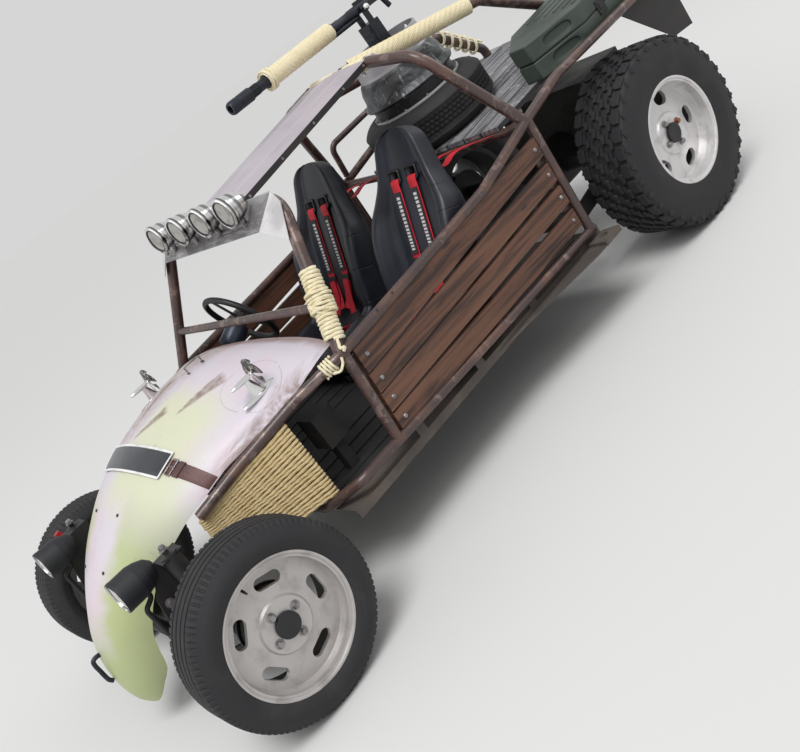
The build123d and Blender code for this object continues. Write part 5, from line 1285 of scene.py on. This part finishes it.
def turret():
    """Tyre of the turret with grooves and slanting notches, and the bolts on the rims and the swivel's foot."""
    place = standing((*TURRET, TURRET_BASE), DECK_UP, AHEAD)
    lower = eased([(TURRET_BEAD_R, 0.0045, 0), (0.236, 0.0005, 0), (0.262, 0.012, 0), (0.2846, 0.034, 0),
                   (TURRET_TREAD_R, 0.045, 0)], 24)[:, :2]
    tread = [(TURRET_TREAD_R - deep, at + off) for at in GROOVES_AT
             for deep, off in ((0, -0.0042), (0.0074, -0.0026), (0.0074, 0.0026), (0, 0.0042))]
    upper = eased([(TURRET_TREAD_R, 0.133, 0), (0.2846, 0.144, 0), (0.262, 0.166, 0), (0.236, 0.1775, 0),
                   (0.209, 0.174, 0), (TURRET_BEAD_R, 0.170, 0)], 26)[:, :2]
    radius, height = np.concatenate([lower, np.array(tread), upper]).T
    angle = steps_round(480)
    slanted = ((angle * NOTCHES / TAU)[:, None] + height * 28) % 1.0 < 0.22
    band = (radius > 0.2835) & (height > 0.046) & (height < 0.132)
    shape = turned(angle, radius - np.where(slanted & band, NOTCH_DEEP, 0.0), height)
    piece("turret_tyre_tread", moved(shape, place), "chassis", RUBBER, ["turret_tyre"], sharp=30.0)
    rim_spots = [place @ spot for spot in ring_spots(0.2035, 0.1842, 12)]
    foot_spots = [place @ spot for spot in ring_spots(0.048, 0.3585, 4)]
    piece("turret_bolts", scatter(hex_bolt(0.012, 0.006), rim_spots), "chassis", STEEL_BOLT)
    piece("swivel_bolts", scatter(hex_bolt(0.013, 0.007), foot_spots), "gun_swivel", STEEL_BOLT)


PIVOT_RISE = 0.578
BORE_RISE = 0.008  # the barrel's line above the pivot
MUZZLE_HOLES = 8
WRAP_START, WRAP_END = 0.176, 0.556


def gun():
    """Prop gun: a round body, a sleeved barrel wound with rope, a perforated muzzle, a sight and a grip."""
    x, y, z = TURRET[0] + PIVOT_RISE * DECK_UP[0], TURRET[1], TURRET_BASE + PIVOT_RISE * DECK_UP[2]
    body = disc_stack([(0.010, -0.150), (0.0175, -0.149), (0.019, -0.140), (0.019, -0.060), (0.020, -0.058),
                       (0.020, 0.060), (0.0175, 0.064), (0.0175, 0.120), (0.0195, 0.124), (0.0195, 0.170)], 36)
    barrel = disc_stack([(0.0255, 0.168), (0.0255, 0.562), (0.0205, 0.566), (0.0205, 0.600)], 36)
    muzzle = disc_stack([(0.0205, 0.598), (0.0205, 0.640), (0.0265, 0.644), (0.0265, 0.700), (0.0248, 0.702),
                         (0.0248, 0.708), (0.0265, 0.710), (0.0265, 0.744), (0.0230, 0.752), (0.0150, 0.752),
                         (0.0150, 0.735), (0.002, 0.735)], 40)
    hole = disc_stack([(0.0062, -0.001), (0.0062, 0.0012), (0.0040, 0.0014), (0.0040, -0.0006), (0.001, -0.0006)], 12)
    holes = scatter(hole, [standing((0.0205 * math.cos(t), 0.0205 * math.sin(t), along), (math.cos(t), math.sin(t), 0))
                           for along in (0.606, 0.620, 0.633) for t in steps_round(MUZZLE_HOLES)])
    round_parts = moved(join(body, barrel, muzzle, holes), standing((x, y, z + BORE_RISE), AHEAD))
    under = disc_stack([(0.0108, 0.020), (0.0108, 0.168), (0.008, 0.171)], 24)
    under = moved(under, standing((x, y, z - 0.016), AHEAD))
    pin = moved(disc_stack([(0.0068, -0.034), (0.0068, 0.034)], 20), standing((x, y, z), (0, 1, 0)))
    line = eased([(x - 0.133, y, z + 0.002), (x - 0.141, y, z - 0.026), (x - 0.152, y, z - 0.057)], 16)
    grip = swept(line, (0, 1, 0), circle(1.0, 14) * (0.0105, 0.0120))
    sight = level_box((0.060, 0.010, 0.014), (x - 0.02, y, z + 0.032))
    piece("prop_gun", join(round_parts, under, pin, grip, sight), "gun", GUN_BLACK, ["gun"])
    start, doubled, end = [(x + along, y, z + BORE_RISE) for along in (WRAP_START, WRAP_END - 0.031, WRAP_END)]
    wrap = [coil(start, end, 0.0262, 0.0086, 0.0046), coil(doubled, end, 0.0345, 0.0100, 0.0046, 1.0, 0.002)]
    piece("gun_rope", join(*wrap), "gun", ROPE_PALE)
    ball = disc_stack([(0.014 * math.sin(t), 0.014 * -math.cos(t)) for t in np.linspace(0.1, 3.04, 14)], 24)
    piece("swivel_ball", moved(ball, standing((x - 0.004, y + 0.047, z), (0, 1, 0))), "gun", CHROME)

    def on_swivel(rise, off_x, off_y):
        """Point beside the turret's axis at a rise above the deck."""
        return TURRET[0] + rise * DECK_UP[0] + off_x, y + off_y, TURRET_BASE + rise * DECK_UP[2]

    cheeks = [level_box((0.056, 0.0035, 0.105), on_swivel(0.46, 0.0, side * 0.0358)) for side in (-1, 1)]
    ribs = [level_box((0.003, 0.060, 0.014), on_swivel(rise, 0.0355, 0.0)) for rise in (0.40, 0.43, 0.46, 0.49)]
    softened(piece("swivel_cheeks", join(*cheeks, *ribs), "gun_swivel", GUN_BLACK), 0.001, 2)


CASE_PLAN = np.array([(-0.293, 0.360), (-0.293, 0.444), (-0.502, 0.571), (-1.007, 0.571), (-1.007, 0.217),
                      (-0.494, 0.217)])
CASE_TALL, CASE_GAP = 0.146, 0.005


def case():
    """Moulded case: two rounded halves with a seam, latches, ribs and recessed ovals, seated on the deck."""
    deck = standing((DECK_FRONT[0], 0, DECK_FRONT[1]), DECK_UP, AHEAD)
    half_tall = CASE_TALL / 2
    halves = join(prism(CASE_PLAN, 0.0008, half_tall - CASE_GAP / 2),
                  prism(CASE_PLAN, half_tall + CASE_GAP / 2, CASE_TALL - 0.0005))
    body = piece("case_halves", moved(halves, deck), "chassis", CASE_GREEN, ["case"])
    middle = CASE_PLAN.mean(0)
    seam = prism(middle + (CASE_PLAN - middle) * 0.975, half_tall - 0.006, half_tall + 0.006)
    piece("case_seam", moved(seam, deck), "chassis", BLACK)
    front, rear = CASE_PLAN[1:3]
    run = unit(rear - front)
    out = np.array([run[1], -run[0]])
    oval = prism(squared_oval(0.062, 0.020, 0.6, 0.8, 40), -0.012, 0.02)
    for level in (0.037, 0.109):
        spot = standing((*((front + rear) / 2 + run * 0.015), level), (*out, 0), (*run, 0))
        cut(body, piece("oval_cutter", moved(moved(oval, spot), deck), "chassis", BLACK))
    softened(body, 0.010, 4, 25.0)
    latches = []
    for x in (-0.62, -0.90):
        latches += [level_box((0.050, 0.006, 0.056), (x, 0.5735, half_tall)),
                    level_box((0.030, 0.009, 0.030), (x, 0.5745, half_tall + 0.006))]
    ribs = [level_box((0.42, 0.012, 0.004), (-0.76, y, CASE_TALL + 0.0003))
            for y in (0.27, 0.32, 0.37, 0.42, 0.47, 0.52)]
    softened(piece("case_latches", moved(join(*latches), deck), "chassis", BLACK), 0.0018, 2)
    softened(piece("case_ribs", moved(join(*ribs), deck), "chassis", CASE_GREEN), 0.0015, 2)


VISOR_LOW_END, VISOR_HIGH_END = (0.4437, 0.382, 1.094), (0.3487, 0.422, 1.175)
GUSSET_LOW_TIP, GUSSET_HIGH_TIP = (0.434, 0.492, 1.040), (0.372, 0.478, 1.142)
ROOF_FRONT, ROOF_REAR = np.array((0.348, 0.0, 1.176)), np.array((-0.430, 0.0, 1.274))
PLANK_ROWS = (
    # each plank's front end (x, low, high) and rear end (x, low, high), from the top plank down
    (0.552, 0.588, 0.690, -0.537, 0.672, 0.745), (0.560, 0.514, 0.584, -0.532, 0.567, 0.642),
    (0.567, 0.441, 0.509, -0.528, 0.473, 0.547), (0.574, 0.366, 0.434, -0.524, 0.374, 0.447))
PLANK_OUT, RAIL_OUT, ROOF_OUT, STRIP_OUT, TOWER_OUT = 0.608, 0.6135, 0.2055, 0.2062, 0.4025
ROOF_EDGE_DROP = (0.0, 0.0, -0.011)


def plate_shape(corners, thick=0.003):
    """Flat plate over the corners, thickened along its normal."""
    corners = np.array(corners, float)
    normal = unit(np.cross(corners[1] - corners[0], corners[2] - corners[0])) * thick / 2
    return skin(np.stack([corners - normal, corners + normal]))


def plank_bolts():
    """Round bolts through the planks' ends, and the two holes in each upper rail."""
    hole = disc_stack([(0.0045, -0.002), (0.0045, 0.0014)], 14)
    for side, name in SIDES:
        ends = [place for front_x, low, high, rear_x, rear_low, rear_high in PLANK_ROWS
                for place in ((front_x - 0.036, (low + high) / 2), (rear_x + 0.024, (rear_low + rear_high) / 2))]
        spots = [standing((x, side * PLANK_OUT, z), (0, side, 0)) for x, z in ends]
        piece("plank_bolts_" + name, scatter(round_bolt(0.0085, 0.0055), spots), "chassis", STEEL_BOLT)
        holes = [standing((x, side * RAIL_OUT, z), (0, side, 0.8)) for x, z in ((0.400, 0.7165), (0.318, 0.7205))]
        piece("rail_holes_" + name, scatter(hole, holes), "chassis", BLACK)


def roof_trim():
    """Bolts and edge strips along the roof's sides, and the bolts across the visor."""
    run = ROOF_REAR - ROOF_FRONT
    slope = unit(run)
    spots = [standing(ROOF_FRONT + run * share + (0, side * ROOF_OUT, 0) + ROOF_EDGE_DROP, (0, side, 0))
             for share in (0.06, 0.30, 0.54, 0.78, 0.95) for side, _ in SIDES]
    piece("roof_bolts", scatter(hex_bolt(0.012, 0.006), spots), "chassis", STEEL_BOLT)
    middles = [(ROOF_FRONT + ROOF_REAR) / 2 + (0, side * STRIP_OUT, 0) + ROOF_EDGE_DROP for side, _ in SIDES]
    strips = [box_shape((0.790, 0.0024, 0.022), standing(middle, (slope[2], 0, -slope[0]), slope))
              for middle in middles]
    piece("roof_edge_strips", join(*strips), "chassis", CHASSIS)
    spots = [standing((0.4212, y, 1.1170), (0.65, 0, 0.76)) for y in (-0.36, -0.19, 0.0, 0.19, 0.36)]
    piece("visor_bolts", scatter(hex_bolt(0.012, 0.005), spots), "chassis", STEEL_BOLT)


def gussets_and_towers():
    """The visor's folded end plates, and the nuts of the front towers: one on top, three on the outer face."""
    gusset = join(plate_shape((VISOR_LOW_END, GUSSET_LOW_TIP, GUSSET_HIGH_TIP)),
                  plate_shape((VISOR_LOW_END, GUSSET_HIGH_TIP, VISOR_HIGH_END)))
    for side, name in SIDES:
        piece("visor_gusset_" + name, sided(gusset, side), "chassis", GUSSET)
        spots = [standing((SHOCK_TOP[0], side * SHOCK_TOP[1], SHOCK_TOP[2]), UP)]
        spots += [standing((x, side * TOWER_OUT, z), (0, side, 0))
                  for x, z in ((1.415, 0.47), (1.395, 0.30), (1.330, 0.565))]
        piece("tower_nuts_" + name, scatter(hex_bolt(0.022, 0.014, 0.015), spots), "chassis", STEEL_BOLT)


def tower_clip():
    """Red clip hooked over the far tower's front edge."""
    body = box_shape((0.022, 0.018, 0.040), standing((1.388, -0.425, 0.604), (0.2, 0, 1), AHEAD))
    tail = level_box((0.008, 0.014, 0.026), (1.392, -0.425, 0.576))
    softened(piece("tower_clip", join(body, tail), "chassis", RED_TAG), 0.002, 2)


def shock_springs():
    """Coil springs round the shock absorbers, a helix about each absorber's line, and the right one's red band."""
    for side, name in SIDES:
        top, foot = np.array(SHOCK_TOP) * (1, side, 1), np.array(SHOCK_FOOT) * (1, side, 1)
        down = unit(foot - top)
        matrix = standing(top + down * 0.165, down)
        angle = np.linspace(0, TAU * 4.6, 220)
        spoke = spokes(angle, matrix)
        path = matrix[:3, 3] + spoke * 0.029 + (angle / angle[-1])[:, None] * matrix[:3, 2] * 0.150
        piece("coil_spring_" + name, swept(path, spoke, circle(0.0042, 8)), "chassis", BLACK)
    band = disc_stack([(0.031, 0.118), (0.0316, 0.120), (0.0316, 0.146), (0.031, 0.148)], 28)
    piece("shock_label", moved(band, standing(top, foot - top)), "chassis", RED_TAG)


def dash():
    """Dial of the instrument can, its face charted by angle and radius, and the steering wheel's hub screws."""
    hub, axis = np.array(STEERING_HUB), np.array(COLUMN_AXIS)
    can = standing(hub + axis * 0.0135, -axis, UP)
    body = disc_stack([(0.0405, -0.002), (0.0400, 0.0010)], 40)
    piece("dial_body", moved(body, can), "chassis", BLACK)
    angle = steps_round(40)
    radius = np.linspace(0.0005, 0.0385, 8)
    front = np.stack([np.outer(radius, np.cos(angle)), np.outer(radius, np.sin(angle)), np.full((8, 40), 0.0016)],
                     axis=2)
    points, faces, charts = grid(np.concatenate([front, front[::-1] - (0, 0, 0.0010)]), False, True)
    reach = np.concatenate([radius, radius[::-1]]) / 0.040
    chart = np.stack([charts[0][..., 0], reach[faces[0] // 40]], axis=2)
    face = moved(outward((points, faces, [chart])), can)
    piece("dial_face", face, "chassis", gauge_face())
    boss = standing(hub - axis * 0.030, -axis, UP)
    spots = [boss @ spot for spot in ring_spots(0.022, 0.0, 6)]
    piece("wheel_screws", scatter(hex_bolt(0.008, 0.004), spots), "steering_wheel", STEEL_BOLT)


def engine_dress():
    """Pulley on the engine block's back, and a cover with cooling fins on each side."""
    pulley = disc_stack([(0.030, 0.0), (0.075, 0.004), (0.075, 0.012), (0.066, 0.014), (0.066, 0.006),
                         (0.002, 0.006)], 40)
    x, half_wide, z = -1.4025, 0.2622, 0.49
    fins = [level_box((0.296, 0.004, 0.300), (x, side * half_wide, z)) for side, _ in SIDES]
    fins += [level_box((0.29, 0.010, 0.006), (x, side * (half_wide + 0.0028), rise))
             for side, _ in SIDES for rise in np.linspace(0.36, 0.62, 14)]
    pulley = moved(pulley, standing((-1.557, 0.0, 0.47), (-1, 0, 0)))
    piece("engine_pulley", pulley, "chassis", STEEL_BOLT)
    piece("engine_fins", join(*fins), "chassis", ENGINE)


def placed(name, data, matrix=np.eye(4)):
    """A lamp, camera or floor put into the scene by a matrix."""
    made = bpy.data.objects.new(name, data)
    made.matrix_world = Matrix(matrix.tolist())
    bpy.context.scene.collection.objects.link(made)
    return made


def pale_world():
    """White light of half strength; what the camera, mirrors and glass see of it is a pale grey."""
    world = bpy.data.worlds.new("world")
    bpy.context.scene.world = world
    world.use_nodes = True
    tree = world.node_tree
    tree.nodes.clear()
    path, light, seen, blend, out, either, any_ray = [tree.nodes.new("ShaderNode" + kind) for kind in (
        "LightPath", "Background", "Background", "MixShader", "OutputWorld", "Math", "Math")]
    light.inputs[0].default_value, light.inputs[1].default_value = (1.0, 1.0, 1.0, 1.0), 0.50
    seen.inputs[0].default_value, seen.inputs[1].default_value = (0.670, 0.675, 0.668, 1.0), 1.0
    either.operation = any_ray.operation = "MAXIMUM"
    for source, target in (
            (path.outputs["Is Camera Ray"], either.inputs[0]), (path.outputs["Is Glossy Ray"], either.inputs[1]),
            (either.outputs[0], any_ray.inputs[0]), (path.outputs["Is Transmission Ray"], any_ray.inputs[1]),
            (any_ray.outputs[0], blend.inputs[0]), (light.outputs[0], blend.inputs[1]),
            (seen.outputs[0], blend.inputs[2]), (blend.outputs[0], out.inputs[0])):
        tree.links.new(source, target)


LAMPS = (
    # name, place, watts, width; each looks at a point 0.6 m above the ground
    ("key", (2.6, 3.4, 4.6), 55.0, 3.2), ("fill", (4.0, -2.2, 3.2), 25.0, 3.5), ("back", (-3.6, 1.6, 3.6), 30.0, 3.0))
FLOOR_HALF = 30.0


def studio():
    """Pale floor, a soft sun and three soft lamps, a pale world and the camera."""
    floor_paint = Paint("floor")
    floor_paint.finish((0.66, 0.66, 0.655), 0.9)
    mesh = bpy.data.meshes.new("floor")
    corners = [(x * FLOOR_HALF, y * FLOOR_HALF, 0) for x, y in ((-1, -1), (1, -1), (1, 1), (-1, 1))]
    mesh.from_pydata(corners, [], [(0, 1, 2, 3)])
    mesh.materials.append(floor_paint.material)
    placed("floor", mesh)
    sky = bpy.data.lights.new("sky", "SUN")
    sky.energy, sky.angle = 1.7, math.radians(28.0)
    placed("sky", sky, standing((0.0, 0.0, 5.0), (0.30, 0.38, 1.0)))
    for name, place, power, width in LAMPS:
        lamp = bpy.data.lights.new(name, "AREA")
        lamp.energy, lamp.size = power, width
        placed(name, lamp, standing(place, np.array(place) - (0.0, 0.0, 0.6)))
    pale_world()
    ahead = np.array((math.cos(YAW) * math.cos(PITCH), math.sin(YAW) * math.cos(PITCH), -math.sin(PITCH)))
    level = unit(np.cross(ahead, UP))
    down = np.cross(ahead, level)
    right = math.cos(ROLL) * level + math.sin(ROLL) * down
    lower = -math.sin(ROLL) * level + math.cos(ROLL) * down
    pose = np.eye(4)
    pose[:3, :3] = np.stack([right, -lower, -ahead], axis=1)
    pose[:3, 3] = EYE
    lens_data = bpy.data.cameras.new("camera")
    lens_data.sensor_width = SENSOR_MM
    lens_data.lens = FOCAL_PX / IMAGE_WIDE * SENSOR_MM
    bpy.context.scene.camera = placed("camera", lens_data, pose)
    bpy.context.scene.view_settings.view_transform = "Standard"


studio()
bonnet()
belt()
bonnet_plate()
mascots()
bonnet_bits()
propellers()
for side, name in SIDES:
    rope_panel(side, name)
lashings()
wheels()
seats()
harness()
lamps()
turret()
gun()
case()
plank_bolts()
roof_trim()
gussets_and_towers()
shock_springs()
tower_clip()
dash()
engine_dress()

bpy.context.view_layer.update()
